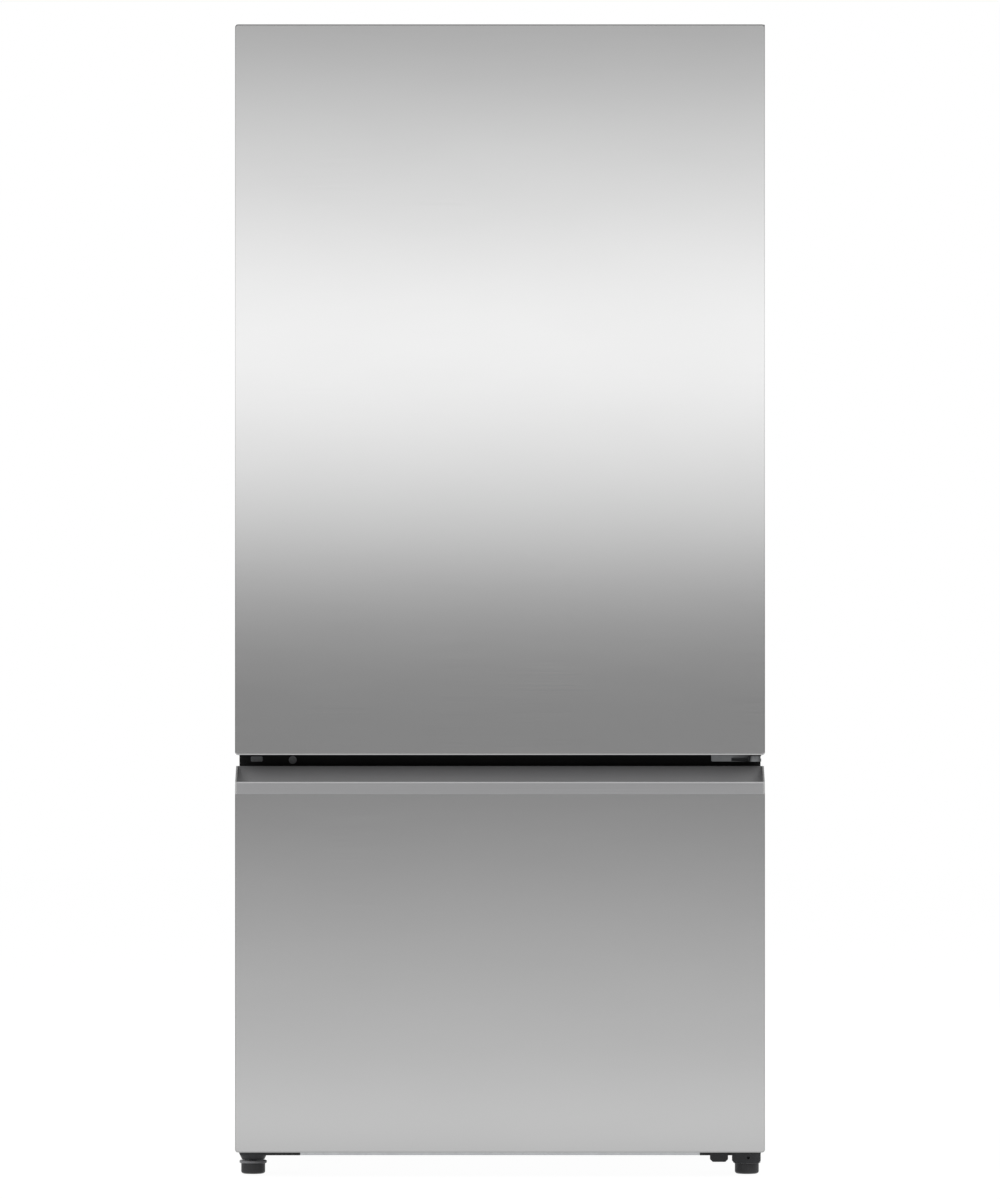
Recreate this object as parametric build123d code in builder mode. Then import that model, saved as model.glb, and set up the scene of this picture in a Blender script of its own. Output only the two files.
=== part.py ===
from build123d import *
from math import cos, radians, sin
import os

# Bottom freezer refrigerator. +Z up, the door faces -Y, the origin is on the floor under its middle.

# ---------------------------------------------------------------- driving sizes, millimetres
overall_width = 790.0          # across the door and the drawer
overall_depth = 695.0          # door face to the cabinet's rear edge
overall_height = 1720.0        # floor to the top of the fridge door

drawer_bottom = 38.0           # floor to the lower edge of the freezer drawer
drawer_height = 575.0          # lower edge to the top of the grip's back wall
door_gap = 17.5                # open gap between the drawer and the fridge door
door_thickness = 64.0          # skin to the back of the liner flange
seal_gap = 12.0                # door back to cabinet front, filled by the gasket
cabinet_inset = 4.0            # cabinet side inside the door's edge
door_rise = 30.0               # door top above the cabinet top

sheet = 1.0                    # folded steel
liner_wall = 2.0               # vacuum-formed liner
side_wall = 48.0               # cabinet side to the inside of a liner
top_wall = 50.0                # cabinet top to the fridge ceiling
rear_wall = 52.0               # rear panel to the inside of a liner
mullion_height = 60.0          # freezer ceiling to fridge floor
floor_wall = 46.0              # foam's underside to the freezer floor
foam_bottom = 66.0             # floor to the foam's underside
rear_inset = 6.0               # rear panel inside the wrapper's rear edge
rear_return = 14.0             # width of the wrapper's folded rear edge
wrapper_bottom = 40.0          # floor to the lower edge of the wrapper's sides
wrapper_radius = 8.0           # top corners of the wrapper
liner_radius = 20.0            # inside corners of both liners

machine_room_depth = 210.0
machine_room_top = 270.0
step_wall = 50.0               # insulation between the machine room and the freezer

base_bottom = 36.0             # floor to the underside of the base pan
base_rail_top = 110.0          # floor to the top of the front rail
base_rail_bottom = 28.5        # floor to the lower edge of the front rail

face_corner = 4.5              # door and drawer corners, seen from the front
face_edge = 2.0                # rounding between the face and its sides
fold_return = 14.0             # folded upper and lower edges of the door skin
top_cap_height = 40.0
bottom_cap_height = 30.0
dyke_inset = 61.0              # door edge to the raised border of the door liner
dyke_width = 26.0
dyke_rise = 28.5
dyke_end_gap = 12.0            # dyke to the fridge's floor and ceiling
dyke_corner = 16.0
pocket_depth = 16.5            # door liner pocket below the flange
gasket_inset_side = 31.5
gasket_inset_end = 5.5
gasket_width = 13.0
gasket_waist = 2.5             # depth of the bellows groove
gasket_groove = 3.0
gasket_corner = 6.0

lip_drop = 22.5                # back wall's top to the lip
bevel_height = 18.0
bevel_depth = 7.5
lip_thickness = 4.0
lip_round = 1.8
wall_slope = 4.0               # lean of the grip's back wall
channel_radius = 17.0
channel_drop = 29.0            # back wall's top to the centre of the channel's round
grip_depth_below = 61.0        # back wall's top to the underside of the grip profile
profile_wall = 3.0
grip_end = 2.5                 # skin's end plates, which close the grip's channel

pivot_inset = 14.0             # hinge axis inside the door's right edge
pivot_depth = 33.5             # hinge axis behind the door's face
pin_radius = 5.0
pin_clearance = 0.08
pin_length = 18.0
pin_tip = 1.0                  # chamfer at a pin's end
bush_radius = 8.0
bush_flange_radius = 9.5
top_flange = 2.0
bottom_flange = 2.0
leaf_gap = 0.3                 # hinge leaf to the flange that rests on it
leaf_thickness = 4.5
leaf_radius = 9.5
collar_rise = 3.5              # collar under the lower bush, above its leaf
collar_reach = 3.5             # collar's wall round the pin
hinge_plate = 3.0
rail_cover = 2.0               # moulded cover on the rail between the compartments
rail_cover_gap = 2.0           # gasket to the rail cover
recess_depth = 34.0            # door top to the floor of the hinge recess
recess_left = 29.0             # recess reach to the left of the pivot
recess_front = 27.0            # recess reach in front of the pivot
cover_wall = 2.5

shelf_count = 3
shelf_end_gap = 25.0           # extra height of the lowest and the highest bay
shelf_set_back = 111.5         # cabinet front to the shelves' front edge
shelf_back_gap = 48.5          # shelves' back edge to the liner's back
shelf_side_gap = 5.0
shelf_rim = 14.0
shelf_rim_height = 12.0
glass_thickness = 4.0
ledge_reach = 12.0
ledge_height = 16.0
crisper_height = 197.5         # fridge floor to the crispers' glass cover

bin_count = 3
bin_floor_rise = 307.5         # fridge floor to the lowest bin
bin_top_gap = 240.0            # highest bin's underside to the fridge ceiling
bin_height = 92.0
bin_depth = 112.0
bin_wall = 2.5
bin_corner = 34.0
lug_reach = 5.0
lug_height = 12.0
lug_depth = 22.0
lug_drop = 24.0                # bin's rim to the middle of the lug
bin_side_gap = 0.4
bin_lug_gap = 0.2
bin_edge = 5.0

crisper_wall = 2.5
crisper_corner = 16.0
crisper_floor_gap = 14.0
crisper_set_back = 22.0        # shelves' front edge to the crispers' front
crisper_back_gap = 45.0        # crispers' back to the shelves' back edge
crisper_rail_gap = 0.3
rail_drop = 28.0               # crisper cover to its hanging rails
rail_reach = 12.0
rail_web = 8.0
rail_sheet = 4.0

runner_rise = 23.0             # step over the machine room to the runner's lower edge
runner_height = 44.0
runner_depth = 13.0
runner_back_gap = 107.0        # runner's rear end to the liner's back
runner_front_gap = 13.0        # cabinet front to the runner's front end
runner_sheet = 1.6
runner_gap = 0.5
runner_step = 6.0              # each member ends this much before the one round it
seat_rise = 18.0               # runner's middle to the basket's seat
bracket_reach = 26.0
bracket_sheet = 3.0
bracket_height = 20.0

basket_wall = 2.5
basket_corner = 20.0
basket_front_gap = 12.0        # drawer's inner panel to the basket
basket_back_gap = 12.5         # basket to the step over the machine room
basket_floor_gap = 18.0
basket_side_gap = 5.0
basket_rim = 24.0
rim_thickness = 4.0
vent_count = 5
vent_pitch = 100.0
vent_width = 18.0
vent_rise = 60.0               # basket's underside to the vents
vent_drop = 40.0               # basket's rim to the vents
tray_height = 138.0
tray_inset = 3.0               # tray's side inside the basket's rim
tray_rim = 8.0
tray_slide_gap = 0.3

foot_inset = 20.0              # foot's axis inside the cabinet's side
foot_set_back = 17.5           # foot's axis behind the cabinet front
pad_radius = 18.0
pad_height = 15.0
ring_radius = 20.5             # ring for turning the foot by hand
ring_top = 20.0
stem_radius = 6.0
stem_clearance = 0.1
stem_top = 58.0
collar_radius = 21.5
collar_throat = 17.0
collar_bottom = 21.5

roller_inset = 41.0            # roller's middle inside the cabinet's side
roller_set_forward = 40.5      # roller's axle in front of the foam's back
roller_radius = 17.0
roller_width = 22.0
axle_radius = 4.0
axle_clearance = 0.08
ear_gap = 0.8
ear_sheet = 2.0
ear_radius = 11.0

# ---------------------------------------------------------------- places that follow from them
half_width = overall_width / 2
face_y = -overall_depth / 2
rear_y = overall_depth / 2
door_back = face_y + door_thickness
cabinet_front = door_back + seal_gap
cabinet_half = half_width - cabinet_inset
cabinet_top = overall_height - door_rise
drawer_top = drawer_bottom + drawer_height
door_bottom = drawer_top + door_gap
gap_middle = drawer_top + door_gap / 2

panel_back = rear_y - rear_inset
foam_back = panel_back - sheet
foam_front = cabinet_front + sheet
inner_half = cabinet_half - side_wall
liner_half = inner_half + liner_wall
cavity_back = foam_back - rear_wall
freezer_floor = foam_bottom + floor_wall
freezer_ceiling = gap_middle - mullion_height / 2
fridge_floor = gap_middle + mullion_height / 2
fridge_ceiling = cabinet_top - top_wall
machine_room_front = foam_back - machine_room_depth
hump_front = machine_room_front - step_wall
hump_top = machine_room_top + step_wall

machine_middle_y = foam_back - machine_room_depth / 2

crisper_cover_level = fridge_floor + crisper_height
shelf_pitch = (fridge_ceiling - crisper_cover_level - 2 * shelf_end_gap) / (shelf_count + 1)
shelf_levels = [crisper_cover_level + shelf_end_gap + (count + 1) * shelf_pitch
                for count in range(shelf_count)]
shelf_front = cabinet_front + shelf_set_back
shelf_back = cavity_back - shelf_back_gap
crisper_front = shelf_front + crisper_set_back
crisper_back = shelf_back - crisper_back_gap
lowest_bin = fridge_floor + bin_floor_rise
bin_pitch = (fridge_ceiling - bin_top_gap - lowest_bin) / (bin_count - 1)
bin_levels = [lowest_bin + count * bin_pitch for count in range(bin_count)]
basket_back = hump_front - basket_back_gap
basket_bottom = freezer_floor + basket_floor_gap

foot_x = cabinet_half - foot_inset
foot_y = cabinet_front + foot_set_back
roller_x = cabinet_half - roller_inset
roller_y = foam_back - roller_set_forward
pivot_x = half_width - pivot_inset
pivot_y = face_y + pivot_depth
door_gasket_bottom = door_bottom + gasket_inset_end
drawer_gasket_top = drawer_top - gasket_inset_end


# ---------------------------------------------------------------- small shape helpers
def span(centre, width):
    """Both ends of a width about its centre."""
    return (centre - width / 2, centre + width / 2)


def both(half):
    """A span centred on the middle plane."""
    return (-half, half)


def middle(ends):
    return (ends[0] + ends[1]) / 2


def width(ends):
    return ends[1] - ends[0]


def grown(ends, by):
    return (ends[0] - by, ends[1] + by)


def upright(x, y, z, radius=0.0, mode=Mode.ADD):
    """Prism with a rectangular plan, standing between two heights."""
    with BuildSketch(Plane.XY.offset(z[0])) as plan:
        with Locations((middle(x), middle(y))):
            if radius:
                RectangleRounded(width(x), width(y), radius)
            else:
                Rectangle(width(x), width(y))
    extrude(plan.sketch, amount=width(z), mode=mode)


def fore_and_aft(x, z, y, radius=0.0, mode=Mode.ADD):
    """Prism whose rectangular outline is seen from the front, between two depths."""
    with BuildSketch(Plane.XZ.offset(-y[0])) as outline:
        with Locations((middle(x), middle(z))):
            if radius:
                RectangleRounded(width(x), width(z), radius)
            else:
                Rectangle(width(x), width(z))
    extrude(outline.sketch, amount=-width(y), mode=mode)


def arch(x, z, y, radius, mode=Mode.ADD, end=-1):
    """As fore_and_aft, with only the upper corners rounded, or the lower ones with end 0."""
    with BuildSketch(Plane.XZ.offset(-y[0])) as outline:
        with Locations((middle(x), middle(z))):
            Rectangle(width(x), width(z))
        fillet(outline.vertices().group_by(Axis.Y)[end], radius)
    extrude(outline.sketch, amount=-width(y), mode=mode)


def across(points, x, mode=Mode.ADD):
    """Prism across the cabinet from a closed side profile of (y, z) points."""
    with BuildSketch(Plane.YZ.offset(x[0])) as side:
        with BuildLine():
            Polyline(*points, close=True)
        make_face()
    extrude(side.sketch, amount=width(x), mode=mode)


def lengthwise(points, y, mode=Mode.ADD):
    """Prism running front to back from a closed (x, z) profile."""
    with BuildSketch(Plane.XZ.offset(-y[0])) as section:
        with BuildLine():
            Polyline(*points, close=True)
        make_face()
    extrude(section.sketch, amount=-width(y), mode=mode)


def rod(start, axis, radius, length, mode=Mode.ADD):
    """Round bar from a point along an axis direction."""
    with BuildSketch(Plane(origin=start, z_dir=axis)) as section:
        Circle(radius)
    extrude(section.sketch, amount=length, mode=mode)


# ---------------------------------------------------------------- cabinet shell
cabinet_x = both(cabinet_half)
inside_x = both(cabinet_half - sheet)
liner_x = both(liner_half)
inner_x = both(inner_half)
fridge_z = (fridge_floor, fridge_ceiling)
fridge_outer_z = grown(fridge_z, liner_wall)
freezer_z = (freezer_floor, freezer_ceiling)

with BuildPart() as cabinet_wrapper:
    arch(cabinet_x, (wrapper_bottom, cabinet_top), (cabinet_front, rear_y), wrapper_radius)
    arch(inside_x, (0, cabinet_top - sheet), (foam_front, rear_y - sheet),
         wrapper_radius - sheet, Mode.SUBTRACT)
    fore_and_aft(liner_x, (0, fridge_outer_z[1]), (cabinet_front, foam_front), mode=Mode.SUBTRACT)
    fore_and_aft(both(cabinet_half - rear_return), (0, cabinet_top - rear_return),
                 (rear_y - sheet, rear_y), mode=Mode.SUBTRACT)

bead_depth = 3.0
bead_width = 60.0
bead_spacing = liner_half * 2 / 3
bead_margin = 120.0
with BuildPart() as rear_panel:
    panel_z = (machine_room_top, cabinet_top - sheet)
    arch(inside_x, panel_z, (foam_back, panel_back), wrapper_radius - sheet)
    for column in (-1, 0, 1):
        bead_x = span(column * bead_spacing, bead_width)
        bead_z = grown(panel_z, -bead_margin)
        fore_and_aft(bead_x, bead_z, (panel_back, panel_back + bead_depth), bead_width / 3)
    chamfer(rear_panel.faces().group_by(Axis.Y)[-1].edges(), bead_depth - sheet)


def freezer_section(wall):
    """Side profile of the freezer cavity, stepped over the machine room, grown by a wall."""
    return [
        (cabinet_front, freezer_floor - wall),
        (hump_front + wall, freezer_floor - wall),
        (hump_front + wall, hump_top - wall),
        (cavity_back + wall, hump_top - wall),
        (cavity_back + wall, freezer_ceiling + wall),
        (cabinet_front, freezer_ceiling + wall),
    ]


def freezer_body(builder, wall, mode=Mode.ADD):
    """The stepped freezer volume with rounded long corners, grown by a wall."""
    half = inner_half + wall
    corner = liner_radius + wall
    across(freezer_section(wall), both(half), mode)
    if mode == Mode.ADD:
        long_edges = builder.edges().filter_by(Axis.Y)
        fillet([edge for edge in long_edges if abs(abs(edge.center().X) - half) < 0.1], corner)


with BuildPart() as freezer_void:
    freezer_body(freezer_void, 0)

with BuildPart() as freezer_envelope:
    freezer_body(freezer_envelope, liner_wall)

with BuildPart() as cabinet_foam:
    arch(inside_x, (foam_bottom, cabinet_top - sheet), (foam_front, foam_back), wrapper_radius - sheet)
    fore_and_aft(liner_x, fridge_outer_z, (cabinet_front, cavity_back + liner_wall),
                 liner_radius + liner_wall, Mode.SUBTRACT)
    add(freezer_envelope.part, mode=Mode.SUBTRACT)
    upright(cabinet_x, (machine_room_front, foam_back), (foam_bottom, machine_room_top),
            mode=Mode.SUBTRACT)


def ledge(side, level, y):
    """Moulded ledge on a side wall of the fridge liner, its top at a level."""
    wall = side * inner_half
    lengthwise([
        (wall, level), (wall - side * ledge_reach, level),
        (wall - side * ledge_reach, level - ledge_height / 4), (wall, level - ledge_height)], y)


crisper_ledge_level = crisper_cover_level - rail_drop
ledge_y = (shelf_front + shelf_rim, shelf_back - shelf_rim)
with BuildPart() as fridge_liner:
    fore_and_aft(liner_x, fridge_outer_z, (cabinet_front, cavity_back + liner_wall),
                 liner_radius + liner_wall)
    fore_and_aft(inner_x, fridge_z, (cabinet_front, cavity_back), liner_radius, Mode.SUBTRACT)
    for level in [*shelf_levels, crisper_cover_level, crisper_ledge_level]:
        for side in (-1, 1):
            ledge(side, level, ledge_y)

with BuildPart() as freezer_liner:
    add(freezer_envelope.part)
    add(freezer_void.part, mode=Mode.SUBTRACT)

plug_height = 1.5
plug_size = (18.0, 8.0)
plug_radius = 6.0
plug_inset = 26.0              # square plug's middle inside the cabinet's side
plug_spacing = 54.0            # square plug to round plug
cover_front = cabinet_front - rail_cover
with BuildPart() as mullion_rail:
    rail_z = (freezer_ceiling + liner_wall, fridge_floor - liner_wall)
    rail_cover_z = (drawer_gasket_top + rail_cover_gap, door_gasket_bottom - rail_cover_gap)
    plug_x = plug_inset - cabinet_half
    plug_y = (cover_front - plug_height, cover_front)
    fore_and_aft(liner_x, rail_z, (cabinet_front, foam_front))
    fore_and_aft(cabinet_x, rail_cover_z, (cover_front, cabinet_front))
    fore_and_aft(span(plug_x, plug_size[0]), span(gap_middle + plug_height, plug_size[1]), plug_y, 2.0)
    rod((plug_x + plug_spacing, cover_front, gap_middle), (0, -1, 0), plug_radius, plug_height)

# ---------------------------------------------------------------- base frame, rollers and feet
pan_wall_top = foam_bottom
bracket_reach_x = 91.0         # cabinet side to the foot bracket's inner end
stem_hole = stem_radius + 1.0
with BuildPart() as base_frame:
    upright(inside_x, (foam_front, foam_back), (base_bottom, pan_wall_top))
    upright(grown(inside_x, -sheet), (foam_front + sheet, foam_back - sheet),
            (base_bottom + sheet, pan_wall_top), mode=Mode.SUBTRACT)
    fore_and_aft(liner_x, (base_bottom, base_rail_top), (cabinet_front, foam_front))
    fore_and_aft(both(cabinet_half - bracket_reach_x), (base_rail_bottom, base_bottom),
                 (cabinet_front, foam_front))
    for side in (-1, 1):
        rod((side * foot_x, foot_y, base_bottom), (0, 0, 1), stem_hole, sheet, Mode.SUBTRACT)
        for hand in (-1, 1):
            ear_x = side * roller_x + hand * (roller_width / 2 + ear_gap + ear_sheet / 2)
            with BuildSketch(Plane.YZ.offset(ear_x - ear_sheet / 2)) as ear:
                with Locations((roller_y, roller_radius - ear_radius)):
                    Rectangle(2 * ear_radius, base_bottom - roller_radius + ear_radius,
                              align=(Align.CENTER, Align.MIN))
                chamfer(ear.vertices().group_by(Axis.Y)[0], ear_radius / 2)
                with Locations((roller_y, roller_radius)):
                    Circle(axle_radius + axle_clearance, mode=Mode.SUBTRACT)
            extrude(ear.sketch, amount=ear_sheet)

axle_head = 2.0
axle_head_radius = 6.0
axle_half = roller_width / 2 + ear_gap + ear_sheet
with BuildPart() as roller_axles:
    for side in (-1, 1):
        inner_end = side * roller_x - axle_half
        rod((inner_end, roller_y, roller_radius), (1, 0, 0), axle_radius, 2 * axle_half)
        for start in (inner_end - axle_head, inner_end + 2 * axle_half):
            rod((start, roller_y, roller_radius), (1, 0, 0), axle_head_radius, axle_head)

tread_groove = 1.5


def rear_roller(side):
    """Nylon roller with a shallow groove, turning on its axle."""
    left = side * roller_x - roller_width / 2
    bore = axle_radius + axle_clearance
    with BuildPart() as roller:
        with BuildSketch(Plane.XZ.offset(-roller_y)) as half_section:
            with BuildLine():
                Polyline(
                    (left, roller_radius + bore), (left, 2 * roller_radius - tread_groove),
                    (left + tread_groove, 2 * roller_radius),
                    (left + roller_width - tread_groove, 2 * roller_radius),
                    (left + roller_width, 2 * roller_radius - tread_groove),
                    (left + roller_width, roller_radius + bore), close=True)
            make_face()
        revolve(half_section.sketch, Axis((left, roller_y, roller_radius), (1, 0, 0)))
    return roller


bracket_plate = 3.0
bracket_depth = 60.0
tab_drop = 14.0
tab_chamfer = 4.0
tab_x = (cabinet_half - 76.0, cabinet_half - 49.0)
shield_x = (cabinet_half - 43.0, cabinet_half)
shield_drop = 16.0
shield_hole = 2.2
shield_front = 8.0             # cabinet front to the face of the tab and the shield
with BuildPart() as foot_brackets:
    bracket_z = (base_bottom - bracket_plate, base_bottom)
    bracket_y = (cabinet_front - bracket_plate, cabinet_front + bracket_depth)
    for side in (-1, 1):
        plate_x = sorted((side * (cabinet_half - bracket_reach_x), side * (cabinet_half - sheet)))
        upright(plate_x, bracket_y, bracket_z)
        fore_and_aft(plate_x, (base_rail_bottom, base_bottom), (bracket_y[0], cabinet_front))
        with BuildSketch(Plane.XZ.offset(-foot_y)) as collar:
            with BuildLine():
                Polyline(
                    (side * foot_x, collar_bottom), (side * foot_x + collar_throat, collar_bottom),
                    (side * foot_x + collar_radius, bracket_z[0] - 2 * sheet),
                    (side * foot_x + collar_radius, bracket_z[0]), (side * foot_x, bracket_z[0]),
                    close=True)
            make_face()
        revolve(collar.sketch, Axis((side * foot_x, foot_y, 0), (0, 0, 1)))
        rod((side * foot_x, foot_y, collar_bottom), (0, 0, 1), stem_radius + stem_clearance,
            base_bottom - collar_bottom, Mode.SUBTRACT)
    shield_y = (cabinet_front - shield_front, cabinet_front - shield_front + bracket_plate)
    upright((tab_x[0], shield_x[1] - sheet), (shield_y[0], bracket_y[0]), bracket_z)
    with BuildSketch(Plane.XZ.offset(-shield_y[0])) as tab:
        for ends, drop in ((tab_x, tab_drop), (shield_x, shield_drop)):
            with Locations((middle(ends), bracket_z[0])):
                Rectangle(width(ends), drop, align=(Align.CENTER, Align.MAX))
        chamfer(tab.vertices().group_by(Axis.Y)[0], tab_chamfer)
        chamfer(tab.vertices().group_by(Axis.Y)[1], tab_chamfer)
        with Locations((middle(shield_x) + 3 * sheet, bracket_z[0] - shield_drop / 2)):
            Circle(shield_hole, mode=Mode.SUBTRACT)
    extrude(tab.sketch, amount=-bracket_plate)


def levelling_foot(side):
    """Pad, turning ring and stem, turned in one piece; the stem screws up through its bracket."""
    x = side * foot_x
    with BuildPart() as foot:
        with BuildSketch(Plane.XZ.offset(-foot_y)) as half_section:
            with BuildLine():
                Polyline(
                    (x, 0), (x + pad_radius - 3, 0), (x + pad_radius - 1, 1), (x + pad_radius, 3),
                    (x + pad_radius, pad_height), (x + ring_radius, pad_height + 1.5),
                    (x + ring_radius, ring_top - 1), (x + ring_radius - 1, ring_top),
                    (x + stem_radius, ring_top - 2), (x + stem_radius, stem_top - 1),
                    (x + stem_radius - 1, stem_top), (x, stem_top), close=True)
            make_face()
        revolve(half_section.sketch, Axis((x, foot_y, 0), (0, 0, 1)))
    return foot


# ---------------------------------------------------------------- machine room
cover_plate_z = (wrapper_bottom + 2, machine_room_top - 1)
louvre_rows = 5
louvre_columns = 4
louvre_side_gap = 96.0         # cabinet side to the outermost louvre
louvre_gap = 40.0              # between two columns
louvre_pitch = 32.0
louvre_height = 10.0
louvre_rise = rear_inset
lowest_louvre = 40.0           # cover's lower edge to the lowest louvre
gland_inset = 61.0             # cord bushing inside the cabinet's side
gland_z = 80.0
gland_radius = 11.0
gland_hole = 7.0
gland_flange = 3.0
gland_depth = 5.0
gland_x = gland_inset - cabinet_half
with BuildPart() as machine_cover:
    column_pitch = (2 * (cabinet_half - louvre_side_gap) + louvre_gap) / louvre_columns
    fore_and_aft(grown(inside_x, -sheet), cover_plate_z, (foam_back, panel_back), 3.0)
    for column in range(louvre_columns):
        louvre_x = span((column - (louvre_columns - 1) / 2) * column_pitch, column_pitch - louvre_gap)
        for row in range(louvre_rows):
            sill = cover_plate_z[0] + lowest_louvre + row * louvre_pitch
            across([(panel_back, sill), (panel_back + louvre_rise, sill),
                    (panel_back, sill + louvre_height)], louvre_x)
            across([(foam_back, sill), (panel_back + louvre_rise - 2 * sheet, sill),
                    (panel_back, sill + louvre_height - 3 * sheet),
                    (foam_back, sill + louvre_height - 3 * sheet)],
                   grown(louvre_x, -sheet), Mode.SUBTRACT)
    rod((gland_x, foam_back, gland_z), (0, 1, 0), gland_radius, sheet, Mode.SUBTRACT)

with BuildPart() as cord_gland:
    with BuildSketch(Plane.XY.offset(gland_z)) as gland_section:
        with BuildLine():
            rim = gland_x + gland_radius
            Polyline(
                (gland_x + gland_hole, foam_back - gland_depth), (rim, foam_back - gland_depth),
                (rim, panel_back), (rim + gland_flange, panel_back),
                (rim + gland_flange, panel_back + gland_flange),
                (gland_x + gland_hole, panel_back + gland_depth), close=True)
        make_face()
    revolve(gland_section.sketch, Axis((gland_x, 0, gland_z), (0, 1, 0)))

pan_floor = base_bottom + sheet
shroud_x = -24.0
compressor_radius = 76.0
compressor_height = 168.0
dome_radius = 34.0
seam_height = 96.0
seam_reach = 4.0
mount_height = 16.0
mount_radius = 11.0
mount_x = 88.0
mount_y = 58.0
mount_plate = 5.0
mount_margin = 15.0            # mount's axis to the plate's edge
compressor_x = middle((shroud_x, cabinet_half))
with BuildPart() as compressor:
    plate_z = (pan_floor + mount_height, pan_floor + mount_height + mount_plate)
    shell_bottom = middle(plate_z)
    rod((compressor_x, machine_middle_y, shell_bottom), (0, 0, 1), compressor_radius,
        compressor_height)
    fillet(compressor.edges().group_by(Axis.Z)[-1], dome_radius)
    chamfer(compressor.edges().group_by(Axis.Z)[0], dome_radius / 2)
    rod((compressor_x, machine_middle_y, shell_bottom + seam_height), (0, 0, 1),
        compressor_radius + seam_reach, seam_reach)
    upright(span(compressor_x, 2 * (mount_x + mount_margin)),
            span(machine_middle_y, 2 * (mount_y + mount_margin)), plate_z)
    for along in (-1, 1):
        for back in (-1, 1):
            rod((compressor_x + along * mount_x, machine_middle_y + back * mount_y, pan_floor),
                (0, 0, 1), mount_radius, mount_height)

tray_wall = 2.0
coil_side_gap = 46.0           # cabinet side to the ends of the coil
coil_fan_gap = 51.0            # coil to the fan's shroud
coil_bottom = 96.0
coil_pitch = 38.0
coil_passes = 4
coil_tube = 4.0
coil_plate_depth = 44.0
coil_inset = 25.0              # coil's ends to the start of the bends
coil_plate_gap = 8.0           # start of the bends to the plates
coil_x = (coil_side_gap - cabinet_half, shroud_x - coil_fan_gap)
with BuildPart() as condenser_coil:
    bends = (coil_x[0] + coil_inset, coil_x[1] - coil_inset)
    for count in range(coil_passes):
        height = coil_bottom + count * coil_pitch
        rod((bends[0], machine_middle_y, height), (1, 0, 0), coil_tube, width(bends))
        if count < coil_passes - 1:
            end, turn = (bends[1], -1) if count % 2 == 0 else (bends[0], 1)
            with BuildSketch(Plane(origin=(end, machine_middle_y, height), z_dir=(1, 0, 0))) as tube:
                Circle(coil_tube)
            revolve(tube.sketch, Axis((end, machine_middle_y, height + coil_pitch / 2), (0, turn, 0)),
                    revolution_arc=180)
    for plate_x in grown(bends, -coil_plate_gap):
        upright(span(plate_x, 2 * sheet), span(machine_middle_y, coil_plate_depth),
                (pan_floor + tray_wall, coil_bottom + (coil_passes - 0.5) * coil_pitch))
    for count in (0, coil_passes - 1):
        rod((coil_x[0], machine_middle_y, coil_bottom + count * coil_pitch), (1, 0, 0), coil_tube,
            coil_inset)

tray_depth = machine_room_depth - 60
tray_rise = 34.0
tray_corner = 10.0
tray_margin = 6.0              # round the coil's ends
with BuildPart() as drip_tray:
    basin_x = grown(coil_x, -tray_margin)
    basin_top = pan_floor + tray_rise
    upright(basin_x, span(machine_middle_y, tray_depth), (pan_floor, basin_top), tray_corner)
    upright(grown(basin_x, -tray_wall), span(machine_middle_y, tray_depth - 2 * tray_wall),
            (pan_floor + tray_wall, basin_top), tray_corner - tray_wall, Mode.SUBTRACT)


def blade_plane(axle, angle, radius):
    """Plane square to one spoke of a fan: its x runs round the hub and its y along the axle."""
    spoke = axle.x_dir * cos(radians(angle)) + axle.y_dir * sin(radians(angle))
    return Plane(origin=axle.origin + spoke * radius, x_dir=axle.z_dir.cross(spoke), z_dir=spoke)


blade_count = 5
blade_thickness = 2.0
root_pitch = 48.0
tip_pitch = 26.0
hub_radius = 15.0
hub_length = 18.0
shaft_radius = 2.0
shaft_clearance = 0.08
shaft_length = 19.0


def bladed_fan(axle, tip_radius):
    """Fan with twisted blades on a hub that is bored for the motor shaft."""
    root_chord = 0.9 * hub_length
    tip_chord = 0.62 * tip_radius
    with BuildPart() as fan:
        with BuildSketch(axle) as hub:
            Circle(hub_radius)
        extrude(hub.sketch, amount=hub_length / 2, both=True)
        for count in range(blade_count):
            angle = count * 360 / blade_count
            with BuildSketch(blade_plane(axle, angle, hub_radius - 3)) as root:
                Rectangle(root_chord, blade_thickness, rotation=root_pitch)
            with BuildSketch(blade_plane(axle, angle, tip_radius)) as tip:
                Rectangle(tip_chord, blade_thickness, rotation=tip_pitch)
            loft([root.sketch, tip.sketch])
        with BuildSketch(axle) as bore:
            Circle(shaft_radius + shaft_clearance)
        extrude(bore.sketch, amount=hub_length, both=True, mode=Mode.SUBTRACT)
    return fan


def fan_motor(axle, base_gap, body_radius, body_length):
    """Round motor body behind the fan, with its shaft through the hub, in the part in hand."""
    with BuildSketch(axle.offset(-base_gap - body_length)) as body:
        Circle(body_radius)
    extrude(body.sketch, amount=body_length)
    with BuildSketch(axle.offset(-base_gap)) as shaft:
        Circle(shaft_radius)
    extrude(shaft.sketch, amount=shaft_length)


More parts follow.
